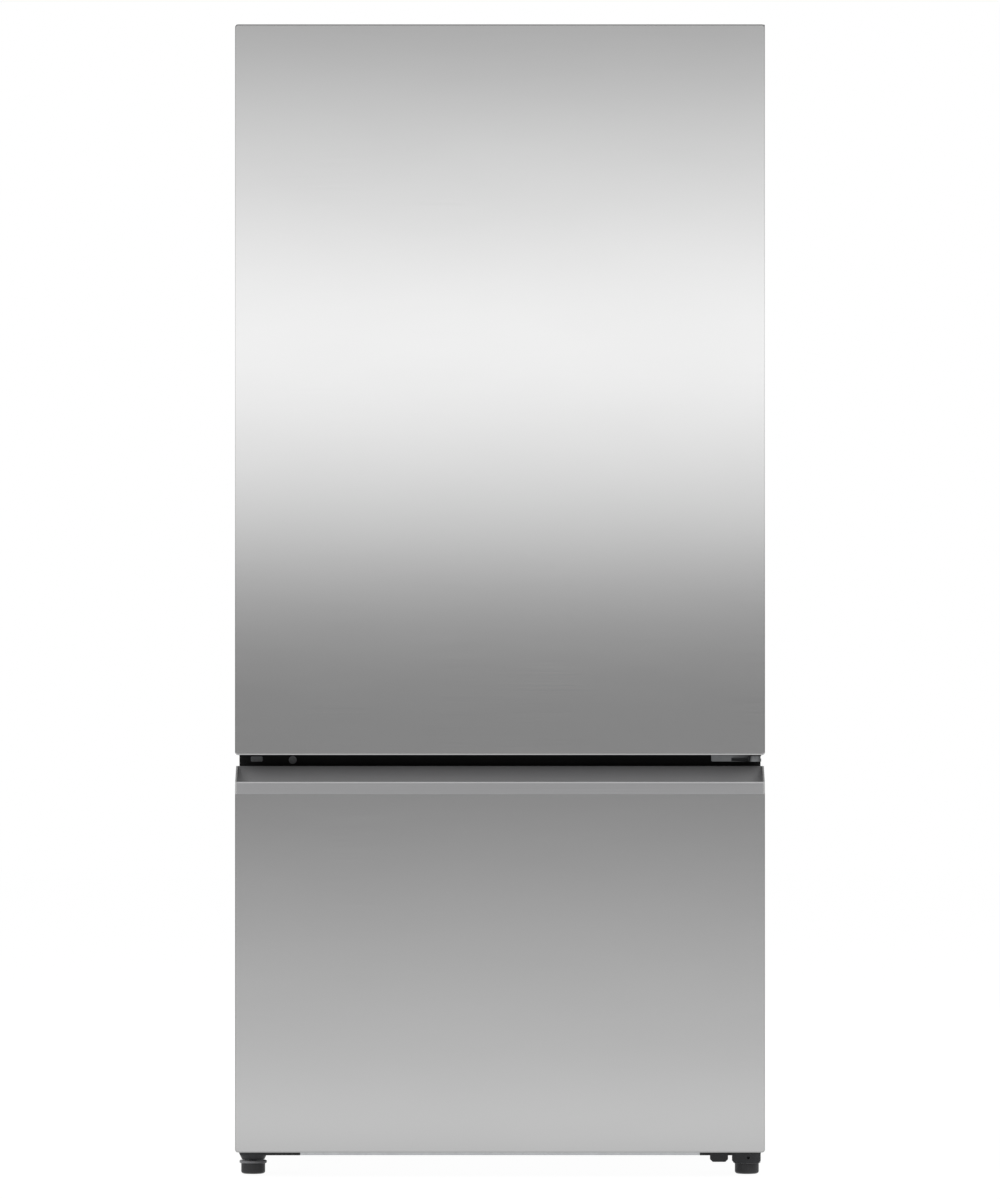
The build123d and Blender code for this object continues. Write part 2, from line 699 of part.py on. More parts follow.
condenser_tip = 56.0
condenser_axle_z = 140.0
shroud_wall = 3.0
shroud_hole_gap = 4.0
motor_gap = 13.0
motor_radius = 20.0
motor_length = 30.0
arm_width = 10.0
condenser_axle = Plane(origin=(shroud_x, machine_middle_y, condenser_axle_z), x_dir=(0, 1, 0),
                       z_dir=(-1, 0, 0))
condenser_fan = bladed_fan(condenser_axle, condenser_tip)
with BuildPart() as condenser_fan_shroud:
    room_y = (machine_room_front, foam_back - sheet)
    upright(span(shroud_x, shroud_wall), room_y, (pan_floor, machine_room_top))
    with BuildSketch(condenser_axle) as throat:
        Circle(condenser_tip + shroud_hole_gap)
    extrude(throat.sketch, amount=shroud_wall, both=True, mode=Mode.SUBTRACT)
    fan_motor(condenser_axle, motor_gap, motor_radius, motor_length)
    arm_plane = condenser_axle.offset(-motor_gap - motor_length)
    with BuildSketch(arm_plane) as arms:
        Rectangle(2 * (condenser_tip + 3 * shroud_hole_gap), arm_width)
    extrude(arms.sketch, amount=shroud_wall)
    post_reach = condenser_tip + 2 * shroud_hole_gap
    with BuildSketch(arm_plane) as posts:
        with Locations((post_reach, 0), (-post_reach, 0)):
            Rectangle(2 * shroud_hole_gap, arm_width)
    extrude(posts.sketch, amount=motor_gap + motor_length)

# ---------------------------------------------------------------- freezer air system
evaporator_side_gap = 113.0    # freezer wall to the evaporator's end plate
evaporator_rise = 16.0         # above the step over the machine room
evaporator_height = 134.0
evaporator_depth = 30.0
evaporator_back_gap = 4.0
fin_count = 6
fin_sheet = 1.0
end_plate = 4.0
tube_rows = 2
tube_overhang = 12.0
evaporator_tube = 4.0
cover_gap = 47.0               # liner back to the evaporator cover's inner face
cover_sheet = 3.0
cover_edge_gap = 0.8
fan_setback = 14.0             # evaporator cover's face to the middle of the fan
freezer_motor_gap = 11.0
freezer_motor_radius = 17.0
evaporator_half = inner_half - evaporator_side_gap
with BuildPart() as evaporator:
    fin_back = cavity_back - evaporator_back_gap
    evaporator_y = (fin_back - evaporator_depth, fin_back)
    evaporator_z = (hump_top + evaporator_rise, hump_top + evaporator_rise + evaporator_height)
    for count in range(fin_count):
        fin_x = -evaporator_half + count * 2 * evaporator_half / (fin_count - 1)
        upright(span(fin_x, fin_sheet), evaporator_y, evaporator_z)
    for row in range(tube_rows):
        height = evaporator_z[0] + (row + 0.5) * evaporator_height / tube_rows
        rod((-evaporator_half - tube_overhang, middle(evaporator_y), height), (1, 0, 0),
            evaporator_tube, 2 * (evaporator_half + tube_overhang))
    for side in (-1, 1):
        upright(span(side * evaporator_half, end_plate), (evaporator_y[0], cavity_back), evaporator_z)

fan_drop = 60.0                # freezer ceiling to the fan's axle
freezer_tip = 42.0
cover_outer = cavity_back - cover_gap - cover_sheet
freezer_fan_z = freezer_ceiling - fan_drop
freezer_axle = Plane(origin=(0, cover_outer + fan_setback, freezer_fan_z), x_dir=(1, 0, 0),
                     z_dir=(0, -1, 0))
evaporator_fan = bladed_fan(freezer_axle, freezer_tip)
grille_slots = 6
grille_side_gap = 163.0        # freezer wall to the slots' ends
lowest_slot = 22.0
slot_height = 6.0
guard_spoke = 5.0
with BuildPart() as evaporator_cover:
    cover_z = (hump_top, freezer_ceiling - cover_edge_gap)
    fore_and_aft(both(inner_half - cover_edge_gap), cover_z, (cover_outer, cover_outer + cover_sheet),
                 liner_radius + cover_edge_gap)
    with BuildSketch(Plane.XZ.offset(-cover_outer)) as fan_guard:
        with Locations((0, freezer_fan_z)):
            Circle(freezer_tip)
            Circle(hub_radius, mode=Mode.SUBTRACT)
            Rectangle(4 * freezer_tip, guard_spoke, mode=Mode.SUBTRACT)
            Rectangle(guard_spoke, 4 * freezer_tip, mode=Mode.SUBTRACT)
    extrude(fan_guard.sketch, amount=-cover_sheet, mode=Mode.SUBTRACT)
    with BuildSketch(Plane.XZ.offset(-cover_outer)) as slots:
        for count in range(grille_slots):
            with Locations((0, hump_top + lowest_slot + count * 3 * slot_height)):
                Rectangle(2 * (inner_half - grille_side_gap), slot_height)
    extrude(slots.sketch, amount=-cover_sheet, mode=Mode.SUBTRACT)

with BuildPart() as evaporator_fan_motor:
    fan_motor(freezer_axle, freezer_motor_gap, freezer_motor_radius,
              cavity_back - cover_outer - fan_setback - freezer_motor_gap)

# ---------------------------------------------------------------- fridge fittings
duct_half = 110.0
duct_rise = 55.0               # crisper cover to the duct cover's lower edge
duct_drop = 40.0               # fridge ceiling to its upper edge
duct_depth = 30.0
duct_wall = 2.5
duct_corner = 12.0
duct_bevel = 8.0
outlet_rise = 100.0            # shelf to the outlets above it
outlet_x = 52.0
outlet_length = 60.0
outlet_height = 5.0
outlet_pitch = 12.0
with BuildPart() as air_duct_cover:
    duct_x = both(duct_half)
    duct_z = (crisper_cover_level + duct_rise, fridge_ceiling - duct_drop)
    duct_front = cavity_back - duct_depth
    fore_and_aft(duct_x, duct_z, (duct_front, cavity_back), duct_corner)
    chamfer(air_duct_cover.faces().sort_by(Axis.Y)[0].edges(), duct_bevel)
    offset(amount=-duct_wall, openings=air_duct_cover.faces().sort_by(Axis.Y)[-1])
    for level in [crisper_cover_level, *shelf_levels]:
        for column in (-outlet_x, outlet_x):
            for row in (-outlet_pitch / 2, outlet_pitch / 2):
                fore_and_aft(span(column, outlet_length), span(level + outlet_rise + row, outlet_height),
                             (duct_front, duct_front + duct_wall), mode=Mode.SUBTRACT)

lens_half = 75.0
lens_set_back = 181.5          # cabinet front to the lens
lens_depth = 90.0
lens_drop = 9.0
lens_corner = 14.0
lens_y = (cabinet_front + lens_set_back, cabinet_front + lens_set_back + lens_depth)
with BuildPart() as ceiling_light_lens:
    upright(both(lens_half), lens_y, (fridge_ceiling - lens_drop, fridge_ceiling), lens_corner)
    chamfer(ceiling_light_lens.edges().group_by(Axis.Z)[0], lens_drop / 2)

panel_half = 115.0
panel_set_back = 35.5          # cabinet front to the control panel
panel_depth = 68.0
panel_drop = 24.0
panel_wall = 2.5
button_x = 45.0
button_size = (26.0, 16.0)
button_gap = 0.4
button_proud = 2.0
button_flange = 3.0
button_rest_gap = 0.1
panel_corner = 10.0
button_corner = 3.0
panel_x = both(panel_half)
panel_y = (cabinet_front + panel_set_back, cabinet_front + panel_set_back + panel_depth)
with BuildPart() as control_panel:
    panel_bottom = fridge_ceiling - panel_drop
    upright(panel_x, panel_y, (panel_bottom, fridge_ceiling), panel_corner)
    chamfer(control_panel.edges().group_by(Axis.Z)[0], panel_wall)
    upright(grown(panel_x, -panel_wall), grown(panel_y, -panel_wall),
            (panel_bottom + panel_wall, fridge_ceiling), panel_corner - panel_wall, Mode.SUBTRACT)
    for side in (-1, 1):
        upright(span(side * button_x, button_size[0] + 2 * button_gap),
                span(middle(panel_y), button_size[1] + 2 * button_gap),
                (panel_bottom, panel_bottom + panel_wall), button_corner + button_gap, Mode.SUBTRACT)


def panel_button(side):
    """Push button that stands through the panel's underside, kept in by a flange."""
    x = span(side * button_x, button_size[0])
    y = span(middle(panel_y), button_size[1])
    shelf = fridge_ceiling - panel_drop + panel_wall
    flange_z = (shelf + button_rest_gap, shelf + button_rest_gap + button_flange)
    with BuildPart() as button:
        upright(x, y, (fridge_ceiling - panel_drop - button_proud, flange_z[1]), button_corner)
        upright(grown(x, button_flange), grown(y, button_flange), flange_z, button_corner)
        chamfer(button.edges().group_by(Axis.Z)[0], button_proud / 2)
    return button


shelf_x = both(inner_half - shelf_side_gap)
shelf_y = (shelf_front, shelf_back)
rim_lip = 4.0
rim_corner = 6.0
glass_gap = 0.3


def glass_rim(level):
    """Moulded rim round a shelf glass, resting on the ledges at a level."""
    rim_z = (level, level + shelf_rim_height)
    upright(shelf_x, shelf_y, rim_z, rim_corner)
    upright(grown(shelf_x, -shelf_rim), grown(shelf_y, -shelf_rim), rim_z, mode=Mode.SUBTRACT)
    upright(grown(shelf_x, rim_lip - shelf_rim), grown(shelf_y, rim_lip - shelf_rim),
            (rim_z[1] - glass_thickness, rim_z[1]), mode=Mode.SUBTRACT)


with BuildPart() as shelf_frames:
    for level in shelf_levels:
        glass_rim(level)

with BuildPart() as glass_panels:
    glass_inset = rim_lip - shelf_rim - glass_gap
    for level in [*shelf_levels, crisper_cover_level]:
        surface = level + shelf_rim_height
        upright(grown(shelf_x, glass_inset), grown(shelf_y, glass_inset),
                (surface - glass_thickness, surface))

with BuildPart() as crisper_cover_frame:
    glass_rim(crisper_cover_level)
    rail_y = grown(shelf_y, -shelf_rim / 2)
    web = rail_web / 2
    web_top = crisper_cover_level + shelf_rim_height - glass_thickness
    rail_bottom = crisper_ledge_level - rail_sheet
    lengthwise([
        (-web, web_top), (-web, crisper_ledge_level), (-web - rail_reach, crisper_ledge_level),
        (-web - rail_reach, rail_bottom), (web + rail_reach, rail_bottom),
        (web + rail_reach, crisper_ledge_level), (web, crisper_ledge_level), (web, web_top)], rail_y)

crisper_rim = 4.0
crisper_side_gap = 2.0         # crisper's side to its rail and to its ledge
rim_grip = 9.0
rim_bottom = crisper_ledge_level + crisper_rail_gap
crisper_top = rim_bottom + crisper_rim
crisper_inner_side = rail_web / 2 + rail_reach + crisper_side_gap
crisper_outer_side = inner_half - ledge_reach - crisper_side_gap
handle_inset = 22.0
handle_wall = 3.0
handle_reach = 24.0
handle_height = 26.0
slider_z = 26.0                # crisper rim to the slider's middle
slider_slot = 60.0
slider_slot_height = 8.0
slider_width = 16.0
slider_travel = 36.0
slider_gap = 0.4
slider_x = 70.0
slider_corner = 3.0
slider_knob = 5.0              # knob's face in front of the crisper
slider_overlap = 4.0           # knob and inner plate past the slot
slider_plate = 2.1


def crisper(side):
    """Moulded vegetable drawer with rims that hang on rails, a pull lip and a vent slot."""
    body_x = sorted((side * crisper_inner_side, side * crisper_outer_side))
    body_z = (fridge_floor + crisper_floor_gap, crisper_top)
    body_y = (crisper_front, crisper_back)
    rim_x = sorted((side * (crisper_inner_side - rim_grip), side * (crisper_outer_side + rim_grip)))
    body_seam = crisper_front + crisper_wall / 2
    handle_front = crisper_front - handle_reach
    handle_bottom = crisper_top - handle_height
    with BuildPart() as drawer:
        upright(body_x, body_y, body_z, crisper_corner)
        chamfer(drawer.edges().group_by(Axis.Z)[0], crisper_corner / 2)
        offset(amount=-crisper_wall, openings=drawer.faces().sort_by(Axis.Z)[-1])
        upright(rim_x, body_y, (rim_bottom, crisper_top), crisper_rim)
        across([(body_seam, crisper_top), (handle_front, crisper_top - crisper_rim),
                (handle_front, handle_bottom), (handle_front + handle_wall, handle_bottom),
                (handle_front + handle_wall, crisper_top - crisper_rim - handle_wall),
                (body_seam, crisper_top - crisper_rim)],
               grown(body_x, -handle_inset))
        upright(grown(body_x, -crisper_wall), grown(body_y, -crisper_wall),
                (rim_bottom, crisper_top), crisper_corner - crisper_wall, Mode.SUBTRACT)
        fore_and_aft(span(middle(body_x) + side * slider_x, slider_slot),
                     span(crisper_top - handle_height - slider_z, slider_slot_height),
                     (crisper_front, crisper_front + crisper_wall), slider_corner, Mode.SUBTRACT)
    return drawer


def humidity_slider(side):
    """Slider that closes part of the crisper's vent slot, held by a plate inside."""
    middle_x = side * (crisper_inner_side + crisper_outer_side) / 2 + side * slider_x
    start = middle_x - slider_travel / 2
    level = crisper_top - handle_height - slider_z
    slot_z = span(level, slider_slot_height)
    plate_front = crisper_front + crisper_wall + slider_gap
    with BuildPart() as slider:
        fore_and_aft(span(start, slider_width), grown(slot_z, -slider_gap),
                     (crisper_front - slider_gap, plate_front))
        fore_and_aft(span(start, slider_width), grown(slot_z, slider_overlap),
                     (crisper_front - slider_knob, crisper_front - slider_gap), slider_corner)
        fore_and_aft(grown(span(start, slider_width), slider_overlap), grown(slot_z, slider_overlap),
                     (plate_front, plate_front + slider_plate))
    return slider


# ---------------------------------------------------------------- hinges
top_leaf_z = (cabinet_top, cabinet_top + leaf_thickness)
top_plate_reach = 61.0         # pivot to the plate's left end
top_plate_run = 86.5           # cabinet front to the plate's rear end
plate_side_gap = 4.0           # cabinet side to the plate
plate_corner = 4.0
leaf_left = 33.0
bolt_left = (43.0, 11.0)       # pivot to the bolts, to the left
bolt_run = (31.5, 66.5)        # cabinet front to the bolts
bolt_radius = 5.5
bolt_head = 4.0
top_plate_x = (pivot_x - top_plate_reach, cabinet_half - plate_side_gap)
top_plate_back = cabinet_front + top_plate_run
hinge_bolts = ((pivot_x - bolt_left[0], cabinet_front + bolt_run[0]),
               (pivot_x - bolt_left[0], cabinet_front + bolt_run[1]),
               (pivot_x - bolt_left[1], cabinet_front + bolt_run[1]))


def leaf_outline(bottom, thickness, root_left, root_right, root_y):
    """Hinge leaf: wide at its root, round about the pivot."""
    with BuildSketch(Plane.XY.offset(bottom)) as leaf:
        with BuildLine():
            Polyline((pivot_x - root_left, root_y), (pivot_x + root_right, root_y),
                     (pivot_x + leaf_radius, pivot_y), (pivot_x - leaf_radius, pivot_y), close=True)
        make_face()
        with Locations((pivot_x, pivot_y)):
            Circle(leaf_radius)
    extrude(leaf.sketch, amount=thickness)


cover_set_back = 5.0           # cabinet front to the hinge cover
cover_gap_inside = 0.5         # hinge cover's wall to the plate
cover_margin = 8.0             # plate to the cover's rear end
cover_drop = 5.0               # door top to the cover's top
cover_corner = 6.0
root_overlap = 6.0
slot_gap = 2.0                 # leaf to the sides of its slot in the cover
top_cover_front = cabinet_front + cover_set_back
top_plate_front = top_cover_front + cover_wall + cover_gap_inside
with BuildPart() as top_hinge_bracket:
    upright(top_plate_x, (top_plate_front, top_plate_back), top_leaf_z, plate_corner)
    leaf_outline(top_leaf_z[0], leaf_thickness, leaf_left, top_plate_x[1] - pivot_x,
                 top_plate_front + root_overlap)
    rod((pivot_x, pivot_y, top_leaf_z[0]), (0, 0, -1), pin_radius, pin_length)
    chamfer(top_hinge_bracket.edges().group_by(Axis.Z)[0], pin_tip)
    for place in hinge_bolts:
        with BuildSketch(Plane.XY.offset(top_leaf_z[1])) as head:
            with Locations(place):
                RegularPolygon(bolt_radius, 6)
        extrude(head.sketch, amount=bolt_head)

with BuildPart() as top_hinge_cover:
    cover_x = (top_plate_x[0] - plate_side_gap, cabinet_half)
    cover_y = (top_cover_front, top_plate_back + cover_margin)
    cover_top = overall_height - cover_drop
    upright(cover_x, cover_y, (cabinet_top, cover_top), cover_corner)
    chamfer(top_hinge_cover.edges().group_by(Axis.Z)[-1], cover_wall)
    upright(grown(cover_x, -cover_wall), grown(cover_y, -cover_wall),
            (cabinet_top, cover_top - cover_wall), cover_corner - cover_wall, Mode.SUBTRACT)
    leaf_slot = (pivot_x - leaf_left - slot_gap, cabinet_half - slot_gap)
    upright(leaf_slot, (cover_y[0], top_plate_front + root_overlap),
            (cabinet_top, top_leaf_z[1] + cover_gap_inside), mode=Mode.SUBTRACT)

middle_leaf_top = door_bottom - bottom_flange - leaf_gap
middle_leaf_z = (middle_leaf_top - collar_rise - leaf_thickness, middle_leaf_top - collar_rise)
middle_plate_reach = 64.0      # pivot to the plate's left end
middle_plate_height = 10.5
middle_plate_gap = 0.5         # plate's top below the door's lower edge
middle_plate_inset = 1.0       # plate's end inside the cabinet's side
middle_leaf_left = 35.0
screw_left = (57.5, 45.0)      # pivot to the screws, to the left
screw_head = (5.0, 2.5)        # radius and height
with BuildPart() as middle_hinge_bracket:
    plate_x = (pivot_x - middle_plate_reach, cabinet_half - middle_plate_inset)
    plate_top = door_bottom - middle_plate_gap
    plate_z = (plate_top - middle_plate_height, plate_top)
    plate_front = cover_front - hinge_plate
    fore_and_aft(plate_x, plate_z, (plate_front, cover_front), 2.0)
    leaf_outline(middle_leaf_z[0], leaf_thickness, middle_leaf_left, plate_x[1] - sheet - pivot_x,
                 plate_front + hinge_plate / 2)
    rod((pivot_x, pivot_y, middle_leaf_z[1]), (0, 0, 1), pin_radius + collar_reach, collar_rise)
    rod((pivot_x, pivot_y, middle_leaf_top), (0, 0, 1), pin_radius, pin_length + bottom_flange)
    chamfer(middle_hinge_bracket.edges().group_by(Axis.Z)[-1], pin_tip)
    for left in screw_left:
        rod((pivot_x - left, plate_front, middle(plate_z)), (0, -1, 0), *screw_head)

bush_bore = pin_radius + pin_clearance
recess_floor = overall_height - recess_depth


def bush(seat, inward, flange):
    """Flanged bush from its seat into the door; the flange stands out the other way."""
    outward = (0, 0, -inward)
    rod((pivot_x, pivot_y, seat), (0, 0, inward), bush_radius, pin_length)
    rod((pivot_x, pivot_y, seat), outward, bush_flange_radius, flange)
    rod((pivot_x, pivot_y, seat - inward * flange), (0, 0, inward), bush_bore, pin_length + flange,
        Mode.SUBTRACT)


with BuildPart() as door_hinge_bushes:
    bush(recess_floor, -1, top_flange)
    bush(door_bottom, 1, bottom_flange)


# ---------------------------------------------------------------- fridge door
def face_slab(builder, x, z, y, corner, edge, open_top=False, ease=fillet):
    """Slab with rounded face corners and eased front edges, square above if it stays open."""
    if open_top:
        arch(x, z, y, corner, end=0)
    else:
        fore_and_aft(x, z, y, corner)
    rim = builder.faces().sort_by(Axis.Y)[0].edges()
    if open_top:
        rim = [line for line in rim if line.center().Z < z[1] - 0.1]
    ease(rim, edge)


door_x = both(half_width)
door_z = (door_bottom, overall_height)
skin_back = door_back - liner_wall
skin_y = (face_y, skin_back)
core_x = both(half_width - sheet)
core_front = face_y + sheet
recess_x = (pivot_x - recess_left, half_width)
recess_y = (pivot_y - recess_front, door_back)
fold_y = (face_y + fold_return, skin_back)


def hinge_recess(floor):
    """Clears the hinge leaf's sweep at the door's upper right corner, down to a floor."""
    upright(recess_x, recess_y, (floor, overall_height), mode=Mode.SUBTRACT)


with BuildPart() as door_skin:
    face_slab(door_skin, door_x, door_z, skin_y, face_corner, face_edge)
    offset(amount=-sheet, openings=door_skin.faces().sort_by(Axis.Y)[-1])
    for fold_z in ((door_bottom, door_bottom + sheet), (overall_height - sheet, overall_height)):
        fore_and_aft(both(half_width - face_corner), fold_z, fold_y, mode=Mode.SUBTRACT)
    hinge_recess(recess_floor)

cap_seam = 1.0                 # overlap of a cap's rim and its body
cap_groove_inset = 60.0
cap_groove_margin = 9.0
cap_groove_depth = 2.0
with BuildPart() as door_top_cap:
    cap_z = (overall_height - top_cap_height, overall_height - sheet)
    arch(core_x, cap_z, fold_y, face_corner - sheet)
    fore_and_aft(both(half_width - face_corner), (cap_z[1] - cap_seam, overall_height), fold_y)
    upright(both(half_width - cap_groove_inset), grown(fold_y, -cap_groove_margin),
            (overall_height - cap_groove_depth, overall_height), mode=Mode.SUBTRACT)
    hinge_recess(recess_floor)
    rod((pivot_x, pivot_y, cap_z[0]), (0, 0, 1), bush_radius, top_cap_height, Mode.SUBTRACT)

pull_inset = 23.0              # door's left edge to the pull recess
pull_length = 312.0
pull_front_gap = 6.0           # folded edge to the pull recess
pull_back_gap = 22.0           # pull recess to the door's back
pull_depth = 22.0
pull_x = (pull_inset - half_width, pull_inset - half_width + pull_length)
pull_y = (fold_y[0] + pull_front_gap, door_back - pull_back_gap)
with BuildPart() as door_bottom_cap:
    cap_z = (door_bottom + sheet, door_bottom + bottom_cap_height)
    arch(core_x, cap_z, fold_y, face_corner - sheet, end=0)
    fore_and_aft(both(half_width - face_corner), (door_bottom, cap_z[0] + cap_seam), fold_y)
    upright(pull_x, pull_y, (door_bottom, door_bottom + pull_depth), pull_depth / 3, Mode.SUBTRACT)
    rod((pivot_x, pivot_y, door_bottom), (0, 0, 1), bush_radius, bottom_cap_height, Mode.SUBTRACT)

dyke_x = both(half_width - dyke_inset)
dyke_z = grown(fridge_z, -dyke_end_gap)
dyke_y = (skin_back, door_back + dyke_rise)
pocket_y = (door_back - pocket_depth, dyke_y[1])
flange_inset = 0.5             # liner's flange inside the foam's outline
with BuildPart() as door_foam:
    face_slab(door_foam, core_x, grown(door_z, -sheet), (core_front, skin_back),
              face_corner - sheet, face_edge - sheet, ease=chamfer)
    fore_and_aft(grown(dyke_x, -liner_wall), grown(dyke_z, -liner_wall),
                 (skin_back, dyke_y[1] - liner_wall), dyke_corner - liner_wall)
    fore_and_aft(grown(dyke_x, liner_wall - dyke_width), grown(dyke_z, liner_wall - dyke_width),
                 (pocket_y[0] - liner_wall, dyke_y[1]), dyke_corner / 2 + liner_wall, Mode.SUBTRACT)
    upright(door_x, fold_y, (overall_height - top_cap_height, overall_height), mode=Mode.SUBTRACT)
    upright(door_x, fold_y, (door_bottom, door_bottom + bottom_cap_height), mode=Mode.SUBTRACT)
    rod((pivot_x, pivot_y, recess_floor), (0, 0, -1), bush_radius, pin_length, Mode.SUBTRACT)

with BuildPart() as door_liner:
    fore_and_aft(grown(core_x, -flange_inset), grown(door_z, -sheet - flange_inset),
                 (skin_back, door_back), face_corner)
    fore_and_aft(dyke_x, dyke_z, dyke_y, dyke_corner)
    fore_and_aft(grown(dyke_x, -liner_wall), grown(dyke_z, -liner_wall),
                 (skin_back, dyke_y[1] - liner_wall), dyke_corner - liner_wall, Mode.SUBTRACT)
    fore_and_aft(grown(dyke_x, liner_wall - dyke_width), grown(dyke_z, liner_wall - dyke_width),
                 (pocket_y[0] - liner_wall, dyke_y[1] - liner_wall), dyke_corner / 2 + liner_wall)
    pocket_x = grown(dyke_x, -dyke_width)
    fore_and_aft(pocket_x, grown(dyke_z, -dyke_width), pocket_y, dyke_corner / 2, Mode.SUBTRACT)
    hinge_recess(recess_floor)
    for level in bin_levels:
        for side in (-1, 1):
            wall = side * pocket_x[1]
            lug_x = sorted((wall, wall - side * lug_reach))
            upright(lug_x, span(door_back, lug_depth), span(level + bin_height - lug_drop, lug_height))


def gasket_ring(z):
    """Magnetic seal round a door opening, with a bellows groove round its outside."""
    outer_x = both(half_width - gasket_inset_side)
    seal_y = (door_back, cabinet_front)
    groove_y = span(middle(seal_y), gasket_groove)
    fore_and_aft(outer_x, z, seal_y, gasket_corner)
    fore_and_aft(grown(outer_x, gasket_waist), grown(z, gasket_waist), groove_y, mode=Mode.SUBTRACT)
    fore_and_aft(grown(outer_x, -gasket_waist), grown(z, -gasket_waist), groove_y,
                 gasket_corner - gasket_waist)
    fore_and_aft(grown(outer_x, -gasket_width), grown(z, -gasket_width), seal_y, mode=Mode.SUBTRACT)


with BuildPart() as door_gasket:
    gasket_ring((door_gasket_bottom, cabinet_top - gasket_inset_end))

bin_x = grown(pocket_x, -lug_reach - bin_side_gap)


def door_bin(level):
    """Moulded bin with rounded outer corners, hung by its ears on the liner's lugs."""
    bin_y = (pocket_y[0] + bin_side_gap, pocket_y[0] + bin_depth)
    lug_top = level + bin_height - lug_drop + lug_height / 2
    with BuildPart() as bin_part:
        with BuildSketch(Plane.XY.offset(level)) as plan:
            with Locations((0, middle(bin_y))):
                Rectangle(width(bin_x), width(bin_y))
            fillet(plan.vertices().group_by(Axis.Y)[-1], bin_corner)
        extrude(plan.sketch, amount=bin_height)
        chamfer(bin_part.edges().group_by(Axis.Z)[0], bin_edge)
        offset(amount=-bin_wall, openings=bin_part.faces().sort_by(Axis.Z)[-1])
        for side in (-1, 1):
            ear_x = sorted((side * (bin_x[1] - bin_wall), side * (pocket_x[1] - bin_side_gap)))
            upright(ear_x, span(door_back, lug_depth), (lug_top + bin_lug_gap, level + bin_height))
    return bin_part


# ---------------------------------------------------------------- freezer drawer
drawer_z = (drawer_bottom, drawer_top)
bevel_bottom = drawer_top - lip_drop - bevel_height
grip_base = drawer_top - grip_depth_below
lip_y = face_y + bevel_depth
channel_front = lip_y + lip_thickness
channel_back = channel_front + 2 * channel_radius
channel_z = drawer_top - channel_drop
channel_bottom = channel_z - channel_radius
grip_half = half_width - grip_end
wall_back = channel_back + wall_slope
with BuildPart() as drawer_skin:
    face_slab(drawer_skin, door_x, (drawer_bottom, bevel_bottom), skin_y, face_corner, face_edge,
              open_top=True)
    open_faces = [drawer_skin.faces().sort_by(Axis.Y)[-1], drawer_skin.faces().sort_by(Axis.Z)[-1]]
    offset(amount=-sheet, openings=open_faces)
    fore_and_aft(both(half_width - face_corner), (drawer_bottom, drawer_bottom + sheet), fold_y,
                 mode=Mode.SUBTRACT)
    for side in (-1, 1):
        across([(face_y, bevel_bottom), (lip_y, drawer_top - lip_drop), (wall_back, drawer_top),
                (skin_back, drawer_top), (skin_back, bevel_bottom)],
               sorted((side * half_width, side * grip_half)))

with BuildPart() as drawer_grip:
    with BuildSketch(Plane.YZ.offset(-grip_half)) as grip_section:
        with BuildLine():
            Polyline((skin_back, drawer_top), (skin_back, grip_base), (core_front, grip_base),
                     (core_front, bevel_bottom), (face_y, bevel_bottom),
                     (lip_y, drawer_top - lip_drop), (channel_front, drawer_top - lip_drop),
                     (channel_front, channel_z))
            ThreePointArc((channel_front, channel_z),
                          (channel_front + channel_radius, channel_bottom),
                          (channel_back, channel_z))
            Polyline((channel_back, channel_z), (wall_back, drawer_top), (skin_back, drawer_top))
        make_face()
    extrude(grip_section.sketch, amount=2 * grip_half)
    chamber_x = both(grip_half - profile_wall)
    across([(core_front + profile_wall, grip_base + profile_wall),
            (skin_back - profile_wall, grip_base + profile_wall),
            (skin_back - profile_wall, channel_bottom - profile_wall),
            (core_front + profile_wall, channel_bottom - profile_wall)],
           chamber_x, Mode.SUBTRACT)
    across([(wall_back + profile_wall, channel_z), (skin_back - profile_wall, channel_z),
            (skin_back - profile_wall, drawer_top - profile_wall),
            (wall_back + profile_wall, drawer_top - profile_wall)], chamber_x, Mode.SUBTRACT)
    lip_edges = [line for line in drawer_grip.edges().filter_by(Axis.X)
                 if abs(line.center().Z - (drawer_top - lip_drop)) < 0.1]
    fillet(lip_edges, lip_round)
    for side in (-1, 1):
        upright(sorted((side * half_width, side * (half_width - face_corner))), (face_y, skin_back),
                (grip_base, bevel_bottom), mode=Mode.SUBTRACT)

with BuildPart() as drawer_bottom_cap:
    cap_z = (drawer_bottom + sheet, drawer_bottom + bottom_cap_height)
    arch(core_x, cap_z, fold_y, face_corner - sheet, end=0)
    fore_and_aft(both(half_width - face_corner), (drawer_bottom, cap_z[0] + cap_seam), fold_y)

with BuildPart() as drawer_foam:
    face_slab(drawer_foam, core_x, (drawer_bottom + sheet, grip_base), (core_front, skin_back),
              face_corner - sheet, face_edge - sheet, open_top=True, ease=chamfer)
    upright(door_x, fold_y, (drawer_bottom, drawer_bottom + bottom_cap_height), mode=Mode.SUBTRACT)

boss_side_gap = 22.0           # freezer wall to the raised middle of the drawer's liner
boss_end_gap = 14.0
boss_rise = 5.0
boss_corner = 18.0
boss_x = both(inner_half - boss_side_gap)
boss_z = grown(freezer_z, -boss_end_gap)
with BuildPart() as drawer_liner:
    fore_and_aft(grown(core_x, -flange_inset), grown(drawer_z, -sheet - flange_inset),
                 (skin_back, door_back), face_corner)
    fore_and_aft(boss_x, boss_z, (door_back, door_back + boss_rise), boss_corner)
    chamfer(drawer_liner.faces().sort_by(Axis.Y)[-1].edges(), boss_rise - liner_wall)

with BuildPart() as drawer_gasket:
    gasket_ring((base_rail_top - gasket_width - gasket_inset_end, drawer_gasket_top))

# ---------------------------------------------------------------- telescopic runners
runner_y = (cabinet_front + runner_front_gap, cavity_back - runner_back_gap)
runner_level = hump_top + runner_rise + runner_height / 2


